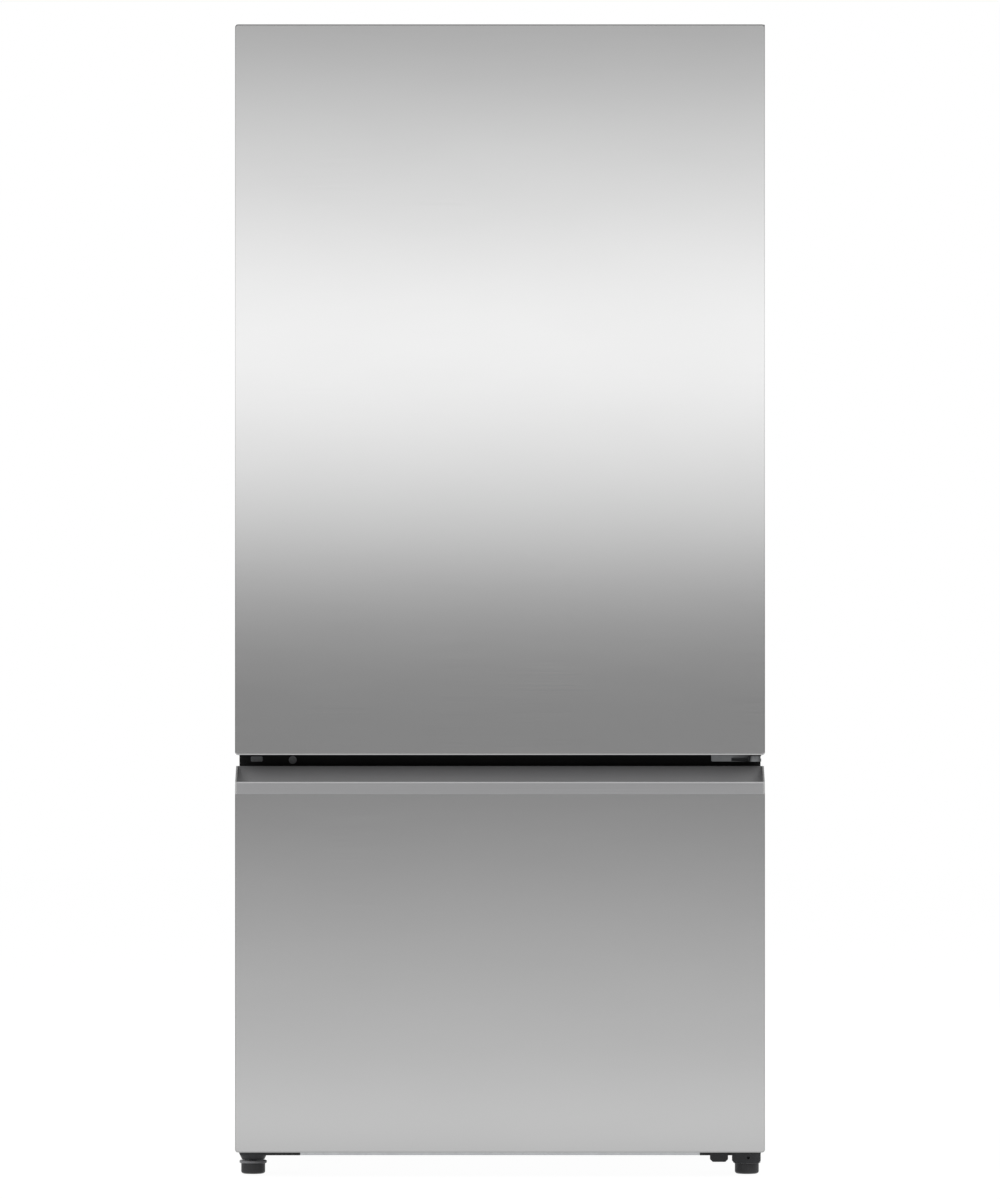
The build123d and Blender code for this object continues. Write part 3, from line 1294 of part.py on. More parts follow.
def runner_channel(side, nest, y):
    """One C-shaped member of a telescopic runner; nest 0 is on the wall, 1 and 2 sit inside it."""
    step = nest * (runner_sheet + runner_gap)
    web = inner_half - step
    tip = inner_half - runner_depth
    half = runner_height / 2 - step
    inner = half - runner_sheet
    lengthwise([
        (side * web, runner_level - half), (side * tip, runner_level - half),
        (side * tip, runner_level - inner), (side * (web - runner_sheet), runner_level - inner),
        (side * (web - runner_sheet), runner_level + inner), (side * tip, runner_level + inner),
        (side * tip, runner_level + half), (side * web, runner_level + half)], y)


rim_seat = runner_level + seat_rise
inner_web = inner_half - 2 * (runner_sheet + runner_gap) - runner_sheet
with BuildPart() as runner_outer_members:
    for side in (-1, 1):
        runner_channel(side, 0, runner_y)

with BuildPart() as runner_middle_members:
    for side in (-1, 1):
        runner_channel(side, 1, (runner_y[0], runner_y[1] - runner_step))

with BuildPart() as runner_inner_members:
    bracket_y = (door_back + boss_rise, basket_back)
    channel_tip = inner_half - runner_depth
    for side in (-1, 1):
        runner_channel(side, 2, (door_back, runner_y[1] - 2 * runner_step))
        upright(sorted((side * inner_web, side * (channel_tip - bracket_sheet))), bracket_y,
                span(runner_level, bracket_height))
        upright(sorted((side * channel_tip, side * (channel_tip - bracket_sheet))), bracket_y,
                (runner_level - bracket_height / 2, rim_seat))
        upright(sorted((side * channel_tip, side * (channel_tip - bracket_reach))), bracket_y,
                (rim_seat - bracket_sheet, rim_seat))

# ---------------------------------------------------------------- basket and tray
seat_inner = inner_half - runner_depth - bracket_reach
basket_half = seat_inner - basket_side_gap
basket_y = (door_back + basket_front_gap, basket_back)
basket_top = rim_seat + rim_thickness
with BuildPart() as freezer_basket:
    upright(both(basket_half), basket_y, (basket_bottom, basket_top), basket_corner)
    chamfer(freezer_basket.edges().group_by(Axis.Z)[0], basket_corner / 2)
    offset(amount=-basket_wall, openings=freezer_basket.faces().sort_by(Axis.Z)[-1])
    upright(both(basket_half + basket_rim), basket_y, (rim_seat, basket_top), rim_thickness)
    upright(both(basket_half - basket_wall), grown(basket_y, -basket_wall), (rim_seat, basket_top),
            basket_corner - basket_wall, Mode.SUBTRACT)
    for count in range(vent_count):
        vent_x = (count - (vent_count - 1) / 2) * vent_pitch
        fore_and_aft(span(vent_x, vent_width), (basket_bottom + vent_rise, basket_top - vent_drop),
                     basket_y, mode=Mode.SUBTRACT)

tray_z = (basket_top + tray_slide_gap, basket_top + tray_slide_gap + tray_height)
with BuildPart() as freezer_tray:
    tray_half = basket_half + basket_rim - tray_inset
    rim_z = (tray_z[1] - rim_thickness, tray_z[1])
    upright(both(tray_half), basket_y, tray_z, basket_corner)
    upright(both(tray_half - basket_wall), grown(basket_y, -basket_wall),
            (tray_z[0] + basket_wall, tray_z[1]), basket_corner - basket_wall, Mode.SUBTRACT)
    upright(both(tray_half), basket_y, rim_z, basket_corner)
    upright(both(tray_half - tray_rim), grown(basket_y, -tray_rim), rim_z, basket_corner - tray_rim,
            Mode.SUBTRACT)

# ---------------------------------------------------------------- one file for each piece
pieces = {
    "cabinet_wrapper": cabinet_wrapper,
    "rear_panel": rear_panel,
    "cabinet_foam": cabinet_foam,
    "fridge_liner": fridge_liner,
    "freezer_liner": freezer_liner,
    "mullion_rail": mullion_rail,
    "base_frame": base_frame,
    "roller_axles": roller_axles,
    "rear_roller_left": rear_roller(-1),
    "rear_roller_right": rear_roller(1),
    "foot_brackets": foot_brackets,
    "foot_left": levelling_foot(-1),
    "foot_right": levelling_foot(1),
    "machine_cover": machine_cover,
    "cord_gland": cord_gland,
    "compressor": compressor,
    "condenser_coil": condenser_coil,
    "drip_tray": drip_tray,
    "condenser_fan_shroud": condenser_fan_shroud,
    "condenser_fan": condenser_fan,
    "evaporator": evaporator,
    "evaporator_cover": evaporator_cover,
    "evaporator_fan_motor": evaporator_fan_motor,
    "evaporator_fan": evaporator_fan,
    "air_duct_cover": air_duct_cover,
    "ceiling_light_lens": ceiling_light_lens,
    "control_panel": control_panel,
    "fridge_temperature_button": panel_button(-1),
    "freezer_temperature_button": panel_button(1),
    "shelf_frames": shelf_frames,
    "glass_panels": glass_panels,
    "crisper_cover_frame": crisper_cover_frame,
    "crisper_left": crisper(-1),
    "crisper_right": crisper(1),
    "humidity_slider_left": humidity_slider(-1),
    "humidity_slider_right": humidity_slider(1),
    "top_hinge_bracket": top_hinge_bracket,
    "top_hinge_cover": top_hinge_cover,
    "middle_hinge_bracket": middle_hinge_bracket,
    "door_hinge_bushes": door_hinge_bushes,
    "door_skin": door_skin,
    "door_top_cap": door_top_cap,
    "door_bottom_cap": door_bottom_cap,
    "door_foam": door_foam,
    "door_liner": door_liner,
    "door_gasket": door_gasket,
    "door_bin_lower": door_bin(bin_levels[0]),
    "door_bin_middle": door_bin(bin_levels[1]),
    "door_bin_upper": door_bin(bin_levels[2]),
    "drawer_skin": drawer_skin,
    "drawer_grip": drawer_grip,
    "drawer_bottom_cap": drawer_bottom_cap,
    "drawer_foam": drawer_foam,
    "drawer_liner": drawer_liner,
    "drawer_gasket": drawer_gasket,
    "runner_outer_members": runner_outer_members,
    "runner_middle_members": runner_middle_members,
    "runner_inner_members": runner_inner_members,
    "freezer_basket": freezer_basket,
    "freezer_tray": freezer_tray,
}

os.makedirs("parts", exist_ok=True)
for label, builder in pieces.items():
    builder.part.label = label
    export_step(builder.part, f"parts/{label}.step")
print(len(pieces), "pieces written")
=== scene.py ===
# %% [markdown]
# # A bottom freezer refrigerator
# The solids of the refrigerator are already made and come in as a fixed frame, in metres, with the
# floor at z = 0 and the door facing -Y. This lesson gives them their finishes, adds the few
# surfaces that the solids leave out, and lights the whole as in a studio. Nothing here moves a
# solid: where one has the right shape, only its finish is made.

import bmesh
import bpy
import numpy as np
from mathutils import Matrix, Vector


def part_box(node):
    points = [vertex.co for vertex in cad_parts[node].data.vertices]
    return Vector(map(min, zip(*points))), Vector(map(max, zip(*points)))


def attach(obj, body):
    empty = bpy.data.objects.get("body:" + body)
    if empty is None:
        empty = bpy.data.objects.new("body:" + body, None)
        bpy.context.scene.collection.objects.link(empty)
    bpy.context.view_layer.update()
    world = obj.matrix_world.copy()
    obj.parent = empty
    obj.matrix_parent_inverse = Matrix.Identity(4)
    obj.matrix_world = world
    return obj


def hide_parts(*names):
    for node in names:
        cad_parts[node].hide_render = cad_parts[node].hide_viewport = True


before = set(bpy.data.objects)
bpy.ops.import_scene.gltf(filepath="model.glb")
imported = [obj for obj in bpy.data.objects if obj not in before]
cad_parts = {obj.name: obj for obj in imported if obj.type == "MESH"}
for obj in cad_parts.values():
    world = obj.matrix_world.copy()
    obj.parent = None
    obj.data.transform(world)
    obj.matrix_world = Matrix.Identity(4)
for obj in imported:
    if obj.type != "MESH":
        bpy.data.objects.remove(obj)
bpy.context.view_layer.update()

# %% [markdown]
# ## The camera
# A refrigerator is photographed from far away with a long lens, level and straight on, so that its
# sides hide behind its doors. The picture is 1000 by 1199 pixels, and one pixel is 1.4906 mm at the
# doors' face. With the long side of the sensor 36 mm wide, the focal length follows from the
# distance alone.

# %% Camera
PICTURE_HEIGHT = 1199
PIXEL = 0.0014906
EYE_HEIGHT = 0.8625
EYE_DISTANCE = 11.0
SENSOR = 36.0

face_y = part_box("door_skin")[0].y
view = bpy.data.cameras.new("studio_camera")
view.sensor_width = SENSOR
view.lens = SENSOR * EYE_DISTANCE / (PICTURE_HEIGHT * PIXEL)
view.clip_end = 80.0
camera = bpy.data.objects.new("studio_camera", view)
camera.location = (0.0, face_y - EYE_DISTANCE, EYE_HEIGHT)
camera.rotation_euler = (np.pi / 2, 0.0, 0.0)
bpy.context.scene.collection.objects.link(camera)
bpy.context.scene.camera = camera
bpy.context.scene.view_settings.view_transform = "Standard"
print("focal length", round(view.lens, 1), "mm")

# %% [markdown]
# ## Colours and nodes
# Colours are written as sRGB hex values, as a paint chart gives them, and one function turns them
# to the linear light that the renderer counts in. One more function adds a node, with its
# properties, its constant sockets and its links in one call. Every finish starts the same way, from
# an empty node tree with one shader and the coordinates on the piece.

# %% Colour and node helpers
def linear(code):
    """sRGB hex to linear RGBA: c / 12.92 below 0.04045, ((c + 0.055) / 1.055) ** 2.4 above it."""
    channels = [int(code[place:place + 2], 16) / 255 for place in (1, 3, 5)]
    light = (c / 12.92 if c < 0.04045 else ((c + 0.055) / 1.055) ** 2.4 for c in channels)
    return (*light, 1.0)


def add(tree, kind, sockets=None, **properties):
    """Adds one node. A socket, by name or number, takes a constant or another node's output."""
    made = tree.nodes.new(kind)
    for name, value in properties.items():
        setattr(made, name, value)
    for name, value in (sockets or {}).items():
        if isinstance(value, bpy.types.NodeSocket):
            tree.links.new(value, made.inputs[name])
        else:
            made.inputs[name].default_value = value
    return made


def blank_material(name):
    """A material, and its node tree with nothing in it."""
    material = bpy.data.materials.new(name)
    material.use_nodes = True
    material.node_tree.nodes.clear()
    return material, material.node_tree


def start_finish(name, **sockets):
    """Starts a finish: material, node tree, shader with its constants, coordinates on the piece."""
    material, tree = blank_material(name)
    named = {key.replace("_", " ").title().replace("Ior", "IOR"): value
             for key, value in sockets.items()}
    shader = add(tree, "ShaderNodeBsdfPrincipled", named)
    add(tree, "ShaderNodeOutputMaterial", {"Surface": shader.outputs[0]})
    return material, tree, shader, add(tree, "ShaderNodeTexCoord").outputs["Object"]


finishes = {}
print("mid grey #808080 is", round(linear("#808080")[0], 3), "in linear light")

# %% [markdown]
# ## Patterns of a real size
# No surface is one even colour. A pattern is laid over the piece at its real size in millimetres,
# and from it a finish takes its mottle, its change of gloss and its relief. Where one piece has
# parts of another colour, they are found by their place along an axis.

# %% Pattern helpers
def grains(tree, place, millimetres, low, high, detail=2.0):
    """Noise whose grains measure so many millimetres along x, y and z, spread from low to high.
    Blender's noise stays mostly between 0.3 and 0.7, so that part is stretched."""
    scale = tuple(1000.0 / size for size in millimetres)
    spaced = add(tree, "ShaderNodeMapping", {"Vector": place, "Scale": scale})
    lattice = {"Vector": spaced.outputs[0], "Scale": 1.0, "Detail": detail}
    noise = add(tree, "ShaderNodeTexNoise", lattice).outputs[0]
    spread = {"Value": noise, "From Min": 0.3, "From Max": 0.7, "To Min": low, "To Max": high}
    return add(tree, "ShaderNodeMapRange", spread).outputs[0]


def between(tree, amount, first, second):
    """The colour that lies between two hex colours, or two colour sockets, by an amount."""
    first, second = (linear(c) if isinstance(c, str) else c for c in (first, second))
    return add(tree, "ShaderNodeMix", {0: amount, 6: first, 7: second}, data_type="RGBA").outputs[2]


def within(tree, place, axis, low, high):
    """1 where the place along an axis (0, 1 or 2) lies between low and high metres, 0 elsewhere."""
    along = add(tree, "ShaderNodeSeparateXYZ", {0: place}).outputs[axis]
    band = {0: along, 1: (low + high) / 2, 2: (high - low) / 2}
    return add(tree, "ShaderNodeMath", band, operation="COMPARE").outputs[0]


def tint_within(material, axis, low, high, dark, light):
    """Gives one band of a finish another pair of colours, mottled on a 3 mm scale."""
    tree = material.node_tree
    place = tree.nodes["Texture Coordinate"].outputs["Object"]
    colour = tree.nodes["Principled BSDF"].inputs["Base Color"]
    tint = between(tree, grains(tree, place, (3.0, 3.0, 3.0), 0.0, 1.0), dark, light)
    band = within(tree, place, axis, low, high)
    tree.links.new(between(tree, band, colour.links[0].from_socket, tint), colour)
    return material


def vary_roughness(tree, shader, amount, low, high):
    """Roughness from low to high while an amount goes from 0 to 1."""
    spread = {"Value": amount, "To Min": low, "To Max": high}
    rough = add(tree, "ShaderNodeMapRange", spread).outputs[0]
    tree.links.new(rough, shader.inputs["Roughness"])


def relief(tree, shader, height, millimetres, strength=1.0):
    """Bump from a height between 0 and 1 that stands for so many millimetres."""
    sockets = {"Height": height, "Distance": millimetres / 1000, "Strength": strength}
    bump = add(tree, "ShaderNodeBump", sockets)
    tree.links.new(bump.outputs[0], shader.inputs["Normal"])


# %% [markdown]
# ## Brushed stainless steel
# The doors are wrapped in ferritic stainless sheet, ground along the coil so that it carries fine
# scratches from side to side. The eye sees a soft grey metal whose highlights spread upwards and
# downwards. Real scratches are a tenth of a millimetre wide and vanish at this size, so they are
# drawn a little coarser, and so faint that the face still reads as one calm gradient. The grinding
# direction comes from a tangent that runs round the vertical axis.

# %% Stainless steel
def brushed_steel(name, dark, light, roughness, spread):
    """Scratches 1.2 mm high and 160 mm long tint the metal and vary its roughness by a spread; a
    cloud 260 mm across takes the scratches' tint away in places."""
    material, tree, shader, place = start_finish(
        name, metallic=1.0, anisotropic=0.4, anisotropic_rotation=0.25)
    scratch = grains(tree, place, (160.0, 160.0, 1.2), 0.0, 1.0, 3.0)
    cloud = grains(tree, place, (260.0, 260.0, 120.0), 0.0, 1.0)
    tint = between(tree, cloud, between(tree, scratch, dark, light), light)
    tree.links.new(tint, shader.inputs["Base Color"])
    vary_roughness(tree, shader, scratch, roughness - spread, roughness + spread)
    around = add(tree, "ShaderNodeTangent", direction_type="RADIAL", axis="Z")
    tree.links.new(around.outputs[0], shader.inputs["Tangent"])
    return material


finishes["stainless_skin"] = brushed_steel(
    "brushed_stainless_steel", "#cdcdcd", "#d0d0d0", roughness=0.2, spread=0.01)
print("made", finishes["stainless_skin"].name)

# %% [markdown]
# ## The grip
# The drawer's grip is an aluminium extrusion with a grey satin coat. Extrusion leaves faint lines
# along its length, and the coat hides the metal's mirror. Behind the lip the hollow is painted a
# darker grey that lightens towards the lip: painted shade for the shadow under the door. The lip's
# edge is painted paler: a painted highlight for the light that it catches.

# %% Coated extrusion
LIP_DEPTH = 0.0098      # the face of the drawer to the back of the lip
LIP_DROP = 0.0225       # the drawer's top to the lip
LIP_EDGE = 0.0018       # height of the lip's edge that carries the painted highlight
HOLLOW_REACH = 0.1      # deeper than the hollow's back wall


def coated_extrusion(name, front, top):
    """Die lines 0.9 mm wide along X; painted shade behind the lip and a painted highlight on its
    edge.
    """
    material, tree, shader, place = start_finish(name, metallic=0.15, specular_ior_level=0.45)
    lines = grains(tree, place, (400.0, 0.9, 0.9), 0.0, 1.0)
    cloud = grains(tree, place, (90.0, 40.0, 40.0), 0.0, 1.0)
    lip = top - LIP_DROP
    height = add(tree, "ShaderNodeSeparateXYZ", {0: place}).outputs[2]
    # painted shade: the hollow darkens from the lip up to the drawer's top, for the shadow under
    # the door
    shade_fade = {"Value": height, "From Min": lip, "From Max": top}
    painted_shade = between(tree, add(tree, "ShaderNodeMapRange", shade_fade).outputs[0], "#818182", "#565657")
    coat = between(tree, lines, "#868687", "#8b8b8c")
    # painted highlight: the lip's edge is paler, for the light that it catches
    painted_highlight = between(tree, lines, "#a9a9aa", "#aeaeaf")
    coat = between(tree, within(tree, place, 2, lip - LIP_EDGE, top), coat, painted_highlight)
    hollow = within(tree, place, 1, front + LIP_DEPTH, front + HOLLOW_REACH)
    tree.links.new(between(tree, hollow, coat, painted_shade), shader.inputs["Base Color"])
    vary_roughness(tree, shader, cloud, 0.40, 0.46)
    relief(tree, shader, lines, 0.02)
    return material


drawer_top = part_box("drawer_skin")[1].z
finishes["grip_metal"] = coated_extrusion("satin_coated_aluminium_painted_shade_and_highlight", face_y, drawer_top)
print("made", finishes["grip_metal"].name)

# %% [markdown]
# ## Painted sheet
# The cabinet is folded from coil-coated steel: a smooth charcoal paint with a fine orange peel. The
# cover of the rail between the two compartments is near-black and dull: painted shade, which keeps
# the gap between the doors as dark as its shadow. The blanking plugs on it are grey. They stand out
# in front of the cover, so whatever lies in front of it takes their colour. The compressor and the
# feet's brackets are dipped in black paint.

# %% Paints
PLUG_REACH = 0.02       # further forward than the plugs' heads
COVER_MARGIN = 0.0004   # keeps the cover's own face out of the plugs' band


def painted_sheet(name, dark, light, roughness, ior=1.5):
    """Orange peel 1.8 mm across, and a faint cloudiness 180 mm across in colour and gloss."""
    material, tree, shader, place = start_finish(name, ior=ior)
    peel = grains(tree, place, (1.8, 1.8, 1.8), 0.0, 1.0, 1.0)
    cloud = grains(tree, place, (180.0, 180.0, 180.0), 0.0, 1.0, 3.0)
    tree.links.new(between(tree, cloud, dark, light), shader.inputs["Base Color"])
    vary_roughness(tree, shader, cloud, roughness - 0.03, roughness + 0.03)
    relief(tree, shader, peel, 0.03, 0.35)
    return material


rail_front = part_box("middle_hinge_bracket")[1].y
# painted shade: the cover is near-black and dull, with a low IOR, for the deep shadow in the gap
rail_cover_painted_shade = painted_sheet("black_painted_shade_rail", "#0a0a0b", "#0e0e0f", 0.62, ior=1.3)
finishes["mullion_paint"] = tint_within(
    rail_cover_painted_shade, 1, rail_front - PLUG_REACH, rail_front - COVER_MARGIN, "#68696b", "#707173")
finishes["cabinet_paint"] = painted_sheet("charcoal_coil_coat", "#3c3d3f", "#424345", 0.40)
finishes["black_steel"] = painted_sheet("black_dip_paint", "#26272a", "#313235", 0.42)
print("rail cover's front at", round(rail_front, 4), "m")

# %% [markdown]
# ## Zinc-coated steel
# The rear panel, the machine room's cover, the base and the runners are left in their zinc. Hot-dip
# zinc shows spangles, flat crystals about a centimetre across that mirror the room by turns.
# Electroplated zinc on the hinges and runners is even and slightly blue, and the base's bright zinc
# is the palest. The drawn copper of the coil and the mill finish of the evaporator are made by the
# same function.

# %% Zinc
CRYSTALS_PER_METRE = 90.0


def spangled_zinc(name):
    """Crystals 11 mm across, each with a shade and roughness of its own."""
    material, tree, shader, place = start_finish(name, metallic=1.0)
    crystal = add(tree, "ShaderNodeTexVoronoi", {"Vector": place, "Scale": CRYSTALS_PER_METRE})
    shade = add(tree, "ShaderNodeSeparateColor", {0: crystal.outputs["Color"]}).outputs[0]
    tree.links.new(between(tree, shade, "#a2a6a9", "#b4b7b9"), shader.inputs["Base Color"])
    vary_roughness(tree, shader, shade, 0.36, 0.42)
    return material


def plated_metal(name, dark, light, roughness, along=(30.0, 30.0, 30.0)):
    """Plated or drawn metal: a faint mottle so many millimetres along x, y and z, and in gloss and
    relief a grain a twelfth as long."""
    material, tree, shader, place = start_finish(name, metallic=1.0)
    mottle = grains(tree, place, along, 0.0, 1.0, 3.0)
    fine = grains(tree, place, tuple(size / 12 for size in along), 0.0, 1.0)
    tree.links.new(between(tree, mottle, dark, light), shader.inputs["Base Color"])
    vary_roughness(tree, shader, fine, roughness - 0.05, roughness + 0.05)
    relief(tree, shader, fine, 0.01, 0.5)
    return material


finishes["galvanised_sheet"] = spangled_zinc("hot_dip_galvanised_steel")
finishes["hinge_steel"] = plated_metal("zinc_plated_hinge_steel", "#999b9d", "#a9abad", 0.32)
finishes["runner_zinc"] = plated_metal(
    "zinc_plated_runner_steel", "#b4b8bc", "#c3c6ca", 0.30, along=(12.0, 220.0, 12.0))
finishes["coil_copper"] = plated_metal(
    "drawn_copper_tube", "#8a5136", "#bd7c56", 0.34, along=(26.0, 26.0, 26.0))
finishes["evaporator_aluminium"] = plated_metal("mill_finish_aluminium", "#b9bcbe", "#cdd0d1", 0.33)
base_zinc = plated_metal("bright_zinc_base_rail", "#c8cacc", "#d4d6d8", 0.22)
print("made five zinc and metal finishes and", base_zinc.name)

# %% [markdown]
# ## Moulded plastics
# Everything that hands touch inside is moulded. Liners are vacuum-formed high-impact polystyrene:
# white, glossy, slightly wavy from the stretch. Caps, covers and sliders are ABS with a
# spark-eroded texture of a quarter of a millimetre, drawn at half a millimetre here. The rollers
# are cast nylon, creamy and waxy, and a little light goes into them. The hinges' bushes are black
# acetal. The feet are black polypropylene, with a paler ring round each collar: a painted highlight
# for the light on its upper rim.

# %% Opaque plastics
# the band round each foot's collar that is painted paler as a painted highlight
PAINTED_HIGHLIGHT_RING = (0.0160, 0.0204)    # lower and upper edge of the feet's collars


def moulded(name, dark, light, roughness, texture=0.5, depth=0.02, wave=0.0, waxy=0.0):
    """Mould texture so many millimetres wide and deep, and a mottle 60 mm across; a wave 90 mm long
    bends the reflections of thin sheet."""
    material, tree, shader, place = start_finish(
        name, ior=1.53, subsurface_weight=waxy, subsurface_scale=0.004)
    fine = grains(tree, place, (texture, texture, texture), 0.0, 1.0, 1.0)
    mottle = grains(tree, place, (60.0, 60.0, 60.0), 0.0, 1.0, 2.0)
    tree.links.new(between(tree, mottle, dark, light), shader.inputs["Base Color"])
    vary_roughness(tree, shader, fine, roughness - 0.04, roughness + 0.04)
    height = fine
    if wave:
        swell = grains(tree, place, (90.0, 90.0, 90.0), 0.0, wave, 1.0)
        height = add(tree, "ShaderNodeMath", {0: fine, 1: swell}, operation="ADD").outputs[0]
    relief(tree, shader, height, depth, 0.6)
    return material


finishes["white_liner"] = moulded(
    "vacuum_formed_polystyrene", "#eceeee", "#f4f5f4", 0.26, texture=0.8, wave=7.0)
finishes["grey_cap"] = moulded("grey_abs_cap", "#5c5e61", "#636568", 0.46)
finishes["bush_plastic"] = moulded("black_acetal_bush", "#2c2c2d", "#343435", 0.38)
finishes["roller_nylon"] = moulded("cast_nylon", "#cfcabb", "#dad6c8", 0.42, waxy=0.1)
finishes["shelf_trim"] = moulded("pale_grey_abs_trim", "#d3d7da", "#dde0e2", 0.32)
finishes["slider_plastic"] = moulded("slate_blue_abs", "#6d7f8b", "#768894", 0.36)
finishes["fan_plastic"] = moulded(
    "glass_filled_polypropylene", "#3b3d40", "#45474a", 0.5, texture=0.9, depth=0.03)
foot_body = moulded("black_polypropylene_painted_highlight", "#2c2c2e", "#353537", 0.44, texture=0.9, depth=0.03)
# painted highlight: the collar's ring is paler, for the light on its upper rim
finishes["foot_plastic"] = tint_within(foot_body, 2, *PAINTED_HIGHLIGHT_RING, "#7a7a7c", "#868688")
finishes["gasket_rubber"] = moulded(
    "grey_soft_vinyl", "#404144", "#4a4b4e", 0.58, texture=1.2, depth=0.03)
finishes["insulation_foam"] = moulded(
    "rigid_polyurethane_foam", "#dcc88c", "#eadcae", 0.85, texture=1.6, depth=0.25)
print("made", len(finishes), "finishes so far")

# %% [markdown]
# ## Glass and clear plastics
# Shelves are tempered soda-lime glass, faintly green through its edge. Bins and crispers are clear
# polystyrene, which is colourless and scratches easily. The freezer's basket and tray are natural
# polypropylene, milky because light scatters between its crystals. The lamp's lens is opal
# polycarbonate. Glass and clear bins are mostly transparent in the plain sense as well, by their
# alpha. Refraction alone stops the lamps' light at the first pane, and everything behind the
# shelves would be dark.

# %% Clear and milky finishes
def see_through(name, dark, light, ior, roughness, transmission,
                smudge=0.02, scatter=0.0, alpha=1.0):
    """Fine wear 1.5 mm across and smudges 70 mm across roughen the surface by a few hundredths."""
    material, tree, shader, place = start_finish(
        name, ior=ior, transmission_weight=transmission, alpha=alpha,
        subsurface_weight=scatter, subsurface_scale=0.006)
    wear = grains(tree, place, (1.5, 1.5, 1.5), 0.0, 1.0, 3.0)
    patch = grains(tree, place, (70.0, 70.0, 70.0), 0.0, 1.0, 3.0)
    both = add(tree, "ShaderNodeMath", {0: wear, 1: patch}, operation="MULTIPLY").outputs[0]
    tree.links.new(between(tree, patch, dark, light), shader.inputs["Base Color"])
    vary_roughness(tree, shader, both, roughness, roughness + smudge)
    return material


finishes["shelf_glass"] = see_through(
    "tempered_shelf_glass", "#eaf6f1", "#f0f9f5", 1.52, 0.0, 1.0, alpha=0.2)
finishes["clear_bin"] = see_through(
    "clear_polystyrene", "#f2f7f9", "#f8fbfc", 1.59, 0.03, 0.92, smudge=0.06, alpha=0.38)
finishes["freezer_plastic"] = see_through(
    "natural_polypropylene", "#dfe7ea", "#e8eff1", 1.49, 0.3, 0.45, smudge=0.08, scatter=0.2)
finishes["lamp_lens"] = see_through(
    "opal_polycarbonate", "#f3f1e8", "#faf8f0", 1.58, 0.22, 0.25, smudge=0.06, scatter=0.4)
print("made", len(finishes), "finishes in all")

# %% [markdown]
# ## Handing out the finishes
# Each solid comes with the name of its finish. The base is the one exception: its front rail shows
# under the drawer, and it is bright zinc where the sheets behind are spangled.

# %% Give every solid its finish
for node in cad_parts.values():
    for holder in node.material_slots:
        holder.material = finishes[holder.material.name.split(".")[0]]
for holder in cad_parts["base_frame"].material_slots:
    holder.material = base_zinc
print(len(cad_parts), "solids in", len(finishes), "finishes")

# %% [markdown]
# ## Surfaces from grids
# A new piece is a grid of points worked out with numpy: each cell of the grid is one face. Where
# the first and last row are the same, the grid is closed by wrapping round to row 0 instead of
# repeating it. The seals and the door's moulded corner run round a rounded rectangle, so its four
# quarter turns are worked out once.

# %% Grid to mesh
def grid_faces(rows, columns, wrap_rows, wrap_columns):
    """Corner numbers of every cell: (i, j), (i, j + 1), (i + 1, j + 1), (i + 1, j), wrapped."""
    i, j = np.meshgrid(np.arange(rows - (not wrap_rows)),
                       np.arange(columns - (not wrap_columns)), indexing="ij")
    here, below = i.ravel() * columns, (i.ravel() + 1) % rows * columns
    j = j.ravel()
    after = (j + 1) % columns
    return np.stack([here + j, here + after, below + after, below + j], 1)


def corner_arcs(steps):
    """The signs (x, y) of a rounded rectangle's corners, each repeated, and the directions
    (cos t, sin t) round them, counter-clockwise with a quarter turn for each corner."""
    quarters = np.arange(4)[:, None] * np.pi / 2
    turns = (np.linspace(0, np.pi / 2, steps) + quarters).ravel()
    signs = np.repeat([(1, 1), (-1, 1), (-1, -1), (1, -1)], steps, axis=0)
    return signs, np.stack([np.cos(turns), np.sin(turns)], 1)


def surface_piece(name, points, faces, body, slot, smooth=True):
    """A mesh piece from points in metres: poles merged, faces outwards, with finish and body."""
    mesh = bpy.data.meshes.new(name)
    mesh.from_pydata(points.reshape(-1, 3).tolist(), [], faces.tolist())
    merged = bmesh.new()
    merged.from_mesh(mesh)
    bmesh.ops.remove_doubles(merged, verts=merged.verts, dist=1e-6)
    bmesh.ops.recalc_face_normals(merged, faces=merged.faces)
    merged.to_mesh(mesh)
    merged.free()
    mesh.polygons.foreach_set("use_smooth", np.full(len(mesh.polygons), smooth))
    piece = bpy.data.objects.new(name, mesh)
    mesh.materials.append(finishes[slot])
    bpy.context.scene.collection.objects.link(piece)
    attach(piece, body)
    print(name, len(mesh.polygons), "faces")
    return piece


# %% [markdown]
# ## Door seals
# A refrigerator's seal is one welded ring of soft vinyl. Its section has a flat foot in the door, a
# bellows that folds as the door shuts, and a square pocket with a magnet that pulls itself to the
# cabinet. The section is drawn as a closed line in millimetres, its corners are cut smooth twice,
# and it is carried round a rounded rectangle.

# %% Seals
SEAL_SECTION = np.array([
    (-5.4, 0.0), (5.4, 0.0), (6.4, 1.0), (6.4, 2.4), (4.4, 3.9), (4.4, 4.7), (6.4, 6.1), (6.5, 7.4),
    (6.5, 11.3), (5.9, 12.0), (-5.9, 12.0), (-6.5, 11.3), (-6.5, 7.4), (-6.4, 6.1), (-4.4, 4.7),
    (-4.4, 3.9), (-6.4, 2.4), (-6.4, 1.0)]) / 1000
SEAL_HEIGHT = 0.012     # of the section above
SEAL_HALF_WIDTH = 0.0065
SEAL_BEND = 0.0085      # corner radius of the section's middle
SEAL_CORNER_STEPS = 9


def cut_corners(line):
    """Each side keeps its middle half, so every corner becomes two softer ones."""
    after = np.roll(line, -1, axis=0)
    return np.stack([0.75 * line + 0.25 * after, 0.25 * line + 0.75 * after], 1).reshape(-1, 2)


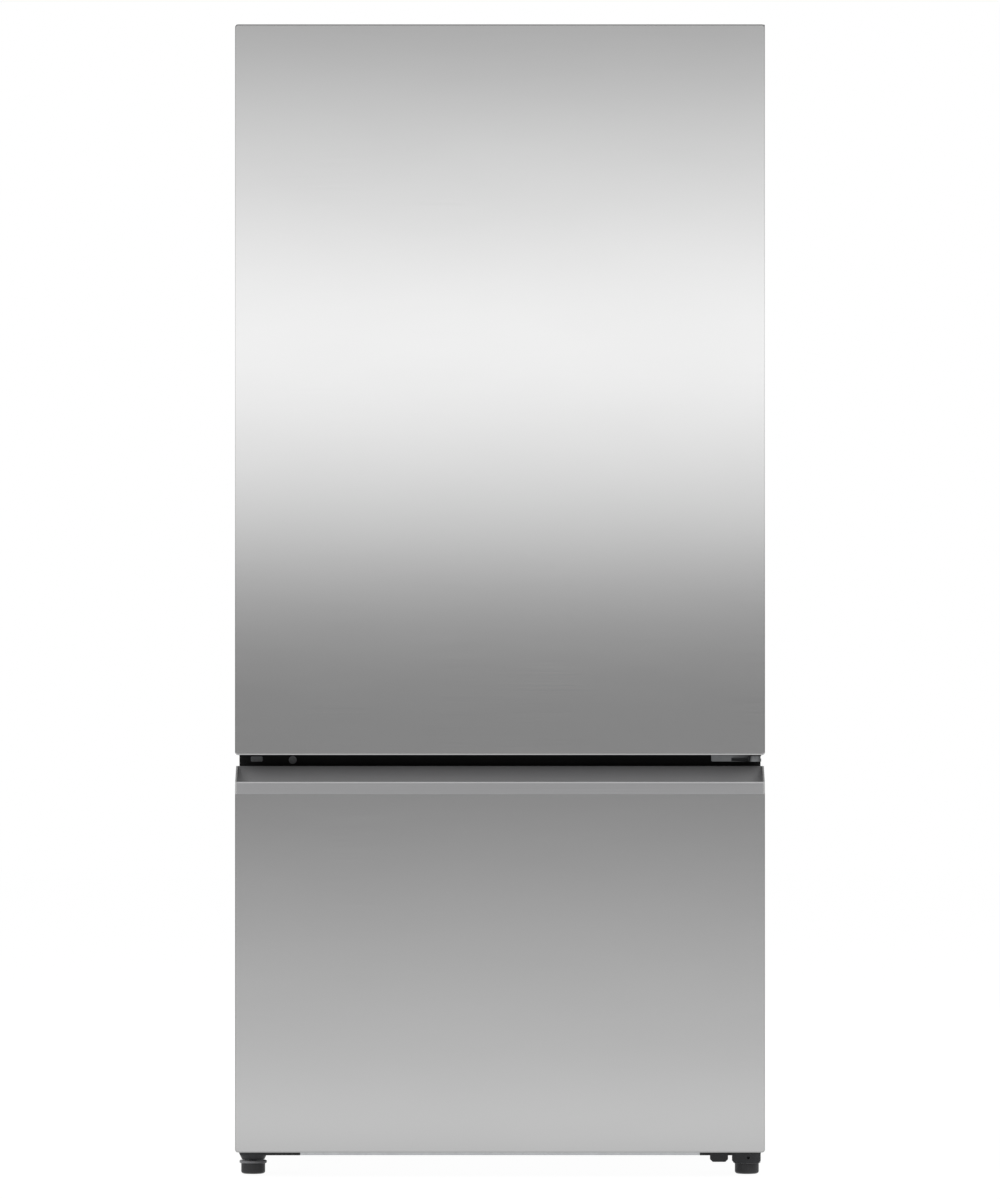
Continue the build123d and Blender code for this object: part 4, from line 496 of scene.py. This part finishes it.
def seal_ring(name, node, body):
    """Points: corner centre + (bend + outward) * direction, at the section's depth."""
    low, high = (np.array(corner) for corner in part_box(node))
    section = cut_corners(cut_corners(SEAL_SECTION))
    section[:, 1] *= (high[1] - low[1]) / SEAL_HEIGHT
    signs, ways = corner_arcs(SEAL_CORNER_STEPS)
    middle = (low + high)[[0, 2]] / 2
    reach = (high - low)[[0, 2]] / 2 - SEAL_HALF_WIDTH - SEAL_BEND
    centres = middle + signs * reach
    flat = centres[:, None] + ways[:, None] * (SEAL_BEND + section[None, :, :1])
    depth = np.broadcast_to(low[1] + section[None, :, 1], flat.shape[:2])
    points = np.stack([flat[..., 0], depth, flat[..., 1]], 2)
    faces = grid_faces(len(ways), len(section), True, True)
    ring = surface_piece(name, points, faces, body, "gasket_rubber")
    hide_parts(node)


seal_ring("door_seal", "door_gasket", "fridge_door")
seal_ring("drawer_seal", "drawer_gasket", "freezer_drawer")

# %% [markdown]
# ## Screws
# Sheet-metal screws hold the rear panel and the machine room's cover. Their pan heads have a cross
# recess. One head is a polar grid: a low dome whose height drops wherever the point lies in one of
# the cross's two arms. All the heads ride on the cabinet, so they are one piece. They stand on the
# panel's flat part, which lies a little in front of its stiffening beads.

# %% Screw heads
HEAD_RADIUS = 0.0042
HEAD_HEIGHT = 0.0022
HEAD_RINGS = 11
HEAD_SPOKES = 32
ARM_HALF_WIDTH = 0.16   # of the cross, in head radii
ARM_REACH = 0.62
SCREW_INSET = 0.012     # screw's middle to the sheet's edge
LOWEST_SCREW = 0.05     # above the panel's lower edge
HIGHEST_SCREW = 0.03    # below the panel's upper edge
SIDE_SCREWS = 6         # down each side of the panel
COVER_SCREWS = 5        # in each of the cover's two rows
BEAD_RISE = 0.003       # the panel's beads over its flat part
REAR_FACING = ((-1, 0, 0), (0, 0, 1), (0, 1, 0))


def screw_heads(name, places, across, body, slot):
    """Height over a polar grid: height * sqrt(1 - 0.8 r ** 2), with r in head radii, less half the
    height in a cross; the last ring goes back to the middle and closes the flat underside."""
    r = np.append(np.linspace(0.0, 1.0, HEAD_RINGS), 0.0)[:, None]
    turn = np.linspace(0, 2 * np.pi, HEAD_SPOKES, endpoint=False)[None, :]
    u, v = r * np.cos(turn), r * np.sin(turn)
    near, far = np.minimum(np.abs(u), np.abs(v)), np.maximum(np.abs(u), np.abs(v))
    arm = (near < ARM_HALF_WIDTH) & (far < ARM_REACH)
    top = HEAD_HEIGHT * (np.sqrt(1 - 0.8 * r ** 2) - 0.5 * arm)
    top[-2:] = 0.0
    first, second, normal = (np.array(axis, float) for axis in across)
    head = HEAD_RADIUS * (u[..., None] * first + v[..., None] * second) + top[..., None] * normal
    points = np.concatenate([head.reshape(-1, 3) + np.array(place) for place in places])
    cells = grid_faces(*head.shape[:2], False, True)
    faces = np.concatenate([cells + number * top.size for number in range(len(places))])
    surface_piece(name, points, faces, body, slot)


rear_low, rear_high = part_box("rear_panel")
cover_low, cover_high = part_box("machine_cover")
rear_face = rear_high.y - BEAD_RISE
side_rows = np.linspace(rear_low.z + LOWEST_SCREW, rear_high.z - HIGHEST_SCREW, SIDE_SCREWS)
cover_rows = (cover_low.z + SCREW_INSET, cover_high.z - SCREW_INSET)
cover_columns = np.linspace(
    cover_low.x + SCREW_INSET, cover_high.x - SCREW_INSET, COVER_SCREWS)
rear_places = [(side * (rear_high.x - SCREW_INSET), rear_face, z)
               for z in side_rows for side in (-1, 1)]
cover_places = [(x, rear_face, z) for z in cover_rows for x in cover_columns]
screw_heads("rear_screws", rear_places + cover_places, REAR_FACING, "cabinet", "hinge_steel")

# %% [markdown]
# ## The corner above the door's hinge
# The door's upper right corner is notched so that the hinge can turn, and there the steel skin no
# longer hides the foam. The real door has a moulded corner over it, a thin lid pressed over the
# foam. Rings of a rounded rectangle run from the top's middle down the outside, and up again on the
# inside.

# %% Moulded corner
NOTCH_LEFT = 0.0435     # the door's right edge to the notch's left edge
NOTCH_FRONT = 0.0062    # the door's face to the lid's front
NOTCH_BACK = 0.0150     # the door's face to the lid's back
NOTCH_DEPTH = 0.0343    # the door's top to the notch's floor
CORNER_WALL = 0.0009
CORNER_RADIUS = 0.0012  # seen from above
CORNER_STEPS = 5
EDGE_ROUNDING = 0.0008  # radius of the top edge
EDGE_STEPS = 4


def rounded_rectangle(low, high, radius, steps):
    """Corner centre + radius * (cos t, sin t)."""
    signs, ways = corner_arcs(steps)
    middle, reach = (low + high) / 2, (high - low) / 2 - radius
    return middle + signs * reach + radius * ways


def moulded_corner(name, low, high, wall, body, slot):
    """Rings of (inset, z): the rounded top edge, the outer foot, the inner foot and the ceiling.
    A ring shrunk to the middle closes each end."""
    turn = np.linspace(np.pi / 2, 0, EDGE_STEPS)
    edge_inset = EDGE_ROUNDING * (1 - np.cos(turn))
    edge_level = high[2] - EDGE_ROUNDING * (1 - np.sin(turn))
    inset = np.concatenate([edge_inset, [0.0, wall, wall]])
    level = np.concatenate([edge_level, [low[2], low[2], high[2] - wall]])
    flat = np.stack([rounded_rectangle(low[:2] + step, high[:2] - step, CORNER_RADIUS, CORNER_STEPS)
                     for step in inset])
    flat = np.pad(flat, ((1, 1), (0, 0), (0, 0)))
    flat[[0, -1]] = (low[:2] + high[:2]) / 2
    level = np.pad(level, 1, mode="edge")
    points = np.concatenate([flat, np.broadcast_to(level[:, None, None], flat.shape[:2] + (1,))], 2)
    faces = grid_faces(*points.shape[:2], False, True)
    surface_piece(name, points, faces, body, slot, smooth=False)


skin_high = np.array(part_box("door_skin")[1])
notch_low = np.array([skin_high[0] - NOTCH_LEFT, face_y + NOTCH_FRONT, skin_high[2] - NOTCH_DEPTH])
notch_high = np.array([skin_high[0], face_y + NOTCH_BACK, skin_high[2]])
moulded_corner("door_corner", notch_low, notch_high, CORNER_WALL, "fridge_door", "grey_cap")

# %% [markdown]
# ## The liners' corners
# Both liners have round corners, but the opening in the painted sheet round them is square. A real
# liner has a flange that fills what is left between the two, so that no foam shows. Each filler is
# the space between a square corner and a quarter circle, as thick as the sheet.

# %% Liner corners
LINER_CORNER = 0.022    # outer radius of the liners' corners
FLANGE_FRONT = 0.0001   # behind the liner's front edge
FLANGE_BACK = 0.0011
ARC_STEPS = 12


def liner_corners(name, liners, radius, body, slot):
    """From a corner: the arc radius * (1 - cos t, 1 - sin t) and the corner itself, in front and
    behind; rows shrunk to the corner close both ends."""
    turn = np.linspace(0, np.pi / 2, ARC_STEPS)
    ring = np.vstack([radius * np.stack([1 - np.cos(turn), 1 - np.sin(turn)], 1), [[0.0, 0.0]]])
    rows = np.stack([0 * ring, ring, ring, 0 * ring])
    cells = grid_faces(*rows.shape[:2], False, True)
    depth = np.array([FLANGE_FRONT, FLANGE_FRONT, FLANGE_BACK, FLANGE_BACK])[:, None]
    depth = np.broadcast_to(depth, rows.shape[:2])
    shapes = []
    for low, high in liners:
        for x, z, inward in ((low.x, low.z, (1, 1)), (high.x, low.z, (-1, 1)),
                             (low.x, high.z, (1, -1)), (high.x, high.z, (-1, -1))):
            flat = np.array([x, z]) + rows * inward
            shapes.append(np.stack([flat[..., 0], low.y + depth, flat[..., 1]], 2))
    faces = np.concatenate([cells + number * depth.size for number in range(len(shapes))])
    surface_piece(name, np.stack(shapes), faces, body, slot, smooth=False)


liner_corners("liner_corners", [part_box("fridge_liner"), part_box("freezer_liner")], LINER_CORNER,
              "cabinet", "white_liner")

# %% [markdown]
# ## The studio
# The floor is a large pale sheet. The camera and clear glass see it and the surroundings as white,
# and the refrigerator's shadow still falls on it, faintly. To light that spreads they are dimmer,
# so that they add no more light than the lamps need to give painted and moulded surfaces their true
# colours.

# %% Floor and surroundings
FLOOR_HALF = 12.0       # middle of the floor to its edge
FLOOR_GLOW = 0.965      # with the little light that it scatters, just short of white
SPREAD_STRENGTH = 0.55  # of the surroundings, for light that spreads


def seen_directly(tree):
    """1 for rays from the camera, a mirror or clear glass, 0 for light that spreads."""
    rays = add(tree, "ShaderNodeLightPath").outputs
    seen = rays["Is Camera Ray"]
    for kind in ("Is Glossy Ray", "Is Transmission Ray"):
        seen = add(tree, "ShaderNodeMath", {0: seen, 1: rays[kind]}, operation="MAXIMUM").outputs[0]
    return seen


def stage_piece(name, points, faces, material):
    """A mesh that belongs to the studio and not to the refrigerator."""
    mesh = bpy.data.meshes.new(name)
    mesh.from_pydata(points.reshape(-1, 3).tolist(), [], faces)
    mesh.materials.append(material)
    piece = bpy.data.objects.new(name, mesh)
    bpy.context.scene.collection.objects.link(piece)
    return piece


def studio_floor(half):
    """A flat grid of 2 by 2 points, pale for light that spreads and nearly white to the eye."""
    u, v = np.meshgrid([-half, half], [-half, half], indexing="ij")
    points = np.stack([u, v, np.zeros_like(u)], 2)
    material, tree = blank_material("pale_floor")
    paper = add(tree, "ShaderNodeBsdfDiffuse", {"Color": linear("#e6e6e6")}).outputs[0]
    faint = add(tree, "ShaderNodeBsdfDiffuse", {"Color": (0.06, 0.06, 0.06, 1.0)}).outputs[0]
    glow = add(tree, "ShaderNodeEmission", {"Strength": FLOOR_GLOW}).outputs[0]
    white = add(tree, "ShaderNodeAddShader", {0: faint, 1: glow}).outputs[0]
    floor_seen = {0: seen_directly(tree), 1: paper, 2: white}
    mixed = add(tree, "ShaderNodeMixShader", floor_seen).outputs[0]
    add(tree, "ShaderNodeOutputMaterial", {"Surface": mixed})
    floor = stage_piece("studio_floor", points, [(0, 2, 3, 1)], material)


studio_floor(FLOOR_HALF)
world = bpy.data.worlds.new("studio_world")
world.use_nodes = True
bpy.context.scene.world = world
air = world.node_tree
air.nodes.clear()
dim_air, white_air = (
    add(air, "ShaderNodeBackground", {"Color": (1, 1, 1, 1), "Strength": strength}).outputs[0]
    for strength in (SPREAD_STRENGTH, 1.0))
air_seen = {0: seen_directly(air), 1: dim_air, 2: white_air}
mixed_air = add(air, "ShaderNodeMixShader", air_seen).outputs[0]
add(air, "ShaderNodeOutputWorld", {"Surface": mixed_air})
print("floor and surroundings made")

# %% [markdown]
# ## Lamps
# Two soft lamps in front, one above and one behind stand for the large lit cloths of a studio.
# Mirrors don't see them: what the steel shows is made by itself in the next step.

# %% Lamps
def soft_lamp(name, place, aim, size, power):
    """A square lamp of so many metres and watts that lights spreading surfaces and doesn't show in
    mirrors. It is turned by the angles of the line from its place to its aim."""
    data = bpy.data.lights.new(name, "AREA")
    data.size = size
    data.energy = power
    lamp = bpy.data.objects.new(name, data)
    lamp.location = place
    x, y, z = np.array(aim, float) - np.array(place, float)
    lamp.rotation_euler = (np.arctan2(np.hypot(x, y), -z), 0.0, np.arctan2(-x, y))
    for kind in ("camera", "glossy", "transmission"):
        setattr(lamp, "visible_" + kind, False)
    bpy.context.scene.collection.objects.link(lamp)
    print(name, power, "W")


BODY_MIDDLE = (0, 0, 0.9)
soft_lamp("lamp_front_left", (-2.6, -3.4, 2.6), BODY_MIDDLE, size=2.4, power=70)
soft_lamp("lamp_front_right", (2.6, -3.4, 2.6), BODY_MIDDLE, size=2.4, power=70)
soft_lamp("lamp_above", (0, 0, 4.2), (0, 0, 0), size=3.0, power=60)
soft_lamp("lamp_behind", (0, 3.8, 2.4), BODY_MIDDLE, size=2.6, power=70)

# %% [markdown]
# ## The reflected wall
# Brushed metal has no colour of its own to speak of: its shading is what stands round it. In a
# studio that is a wall of lit cloth. Here it is a closed drum that only mirrors see, bright at the
# height of the upper door, dim at the height of the grip and paler again towards the floor. It is a
# little darker to the left and the right, which draws the thin dark line that frames each door.

# %% The reflected wall
WALL_RADIUS = 1.8
WALL_FOOT = 0.002       # just above the studio's floor
WALL_HEIGHT = 4.0
WALL_SPOKES = 96
POLE = 0.001            # radius that the drum's floor and lid leave open
WALL_STRENGTH = 2.4
SIDE_SHADE = 0.55       # share of the strength that is left straight to the left and right
# how far ahead or behind, in radii, the side shade starts to lift and is gone
SHADE_ENDS = (0.1, 0.8)
# (height in metres, brightness)
WALL_SHADES = ((0.004, 0.45), (0.03, 0.285), (0.22, 0.28), (0.38, 0.205), (0.62, 0.102),
               (0.82, 0.140), (1.05, 0.478), (1.30, 0.67), (1.55, 0.467), (1.90, 0.212),
               (2.40, 0.155))


def reflected_wall():
    """A drum round the refrigerator: (r cos t, r sin t, z) along a profile of (r, z), shaded by
    height, and dimmer towards the sides by how far y is from the middle."""
    turn = np.linspace(0, 2 * np.pi, WALL_SPOKES, endpoint=False)[:, None]
    r = np.array([POLE, WALL_RADIUS, WALL_RADIUS, POLE])[None, :]
    z = np.array([WALL_FOOT, WALL_FOOT, WALL_HEIGHT, WALL_HEIGHT])[None, :]
    points = np.stack([r * np.cos(turn), r * np.sin(turn), z * np.ones_like(turn)], 2)
    faces = grid_faces(*points.shape[:2], True, False).tolist()
    material, tree = blank_material("lit_cloth")
    spot = add(tree, "ShaderNodeTexCoord").outputs["Object"]
    _, y, height = add(tree, "ShaderNodeSeparateXYZ", {0: spot}).outputs
    share, ahead = (
        add(tree, "ShaderNodeMath", {0: length, 1: whole}, operation="DIVIDE").outputs[0]
        for length, whole in ((height, WALL_HEIGHT), (y, WALL_RADIUS)))
    ahead = add(tree, "ShaderNodeMath", {0: ahead}, operation="ABSOLUTE").outputs[0]
    towards = {"Value": ahead, "From Min": SHADE_ENDS[0], "From Max": SHADE_ENDS[1],
               "To Min": SIDE_SHADE * WALL_STRENGTH, "To Max": WALL_STRENGTH}
    strength = add(tree, "ShaderNodeMapRange", towards, interpolation_type="SMOOTHSTEP").outputs[0]
    ramp = add(tree, "ShaderNodeValToRGB", {0: share})
    ramp.color_ramp.interpolation = "EASE"
    stops = ramp.color_ramp.elements
    while len(stops) < len(WALL_SHADES):
        stops.new(0.5)
    for stop, (level, shade) in zip(stops, WALL_SHADES):
        stop.position = level / WALL_HEIGHT
        stop.color = (shade, shade, shade, 1.0)
    glow = add(tree, "ShaderNodeEmission", {"Color": ramp.outputs[0], "Strength": strength})
    add(tree, "ShaderNodeOutputMaterial", {"Surface": glow.outputs[0]})
    wall = stage_piece("reflected_wall", points, faces, material)
    for kind in ("camera", "diffuse", "transmission", "volume_scatter", "shadow"):
        setattr(wall, "visible_" + kind, False)
    print("reflected wall made in", len(WALL_SHADES), "shades")


reflected_wall()

# %% [markdown]
# ## The finished model
# The scene is brought up to date. Everything added here lies on or inside the solids.

# %% Finish
bpy.context.view_layer.update()
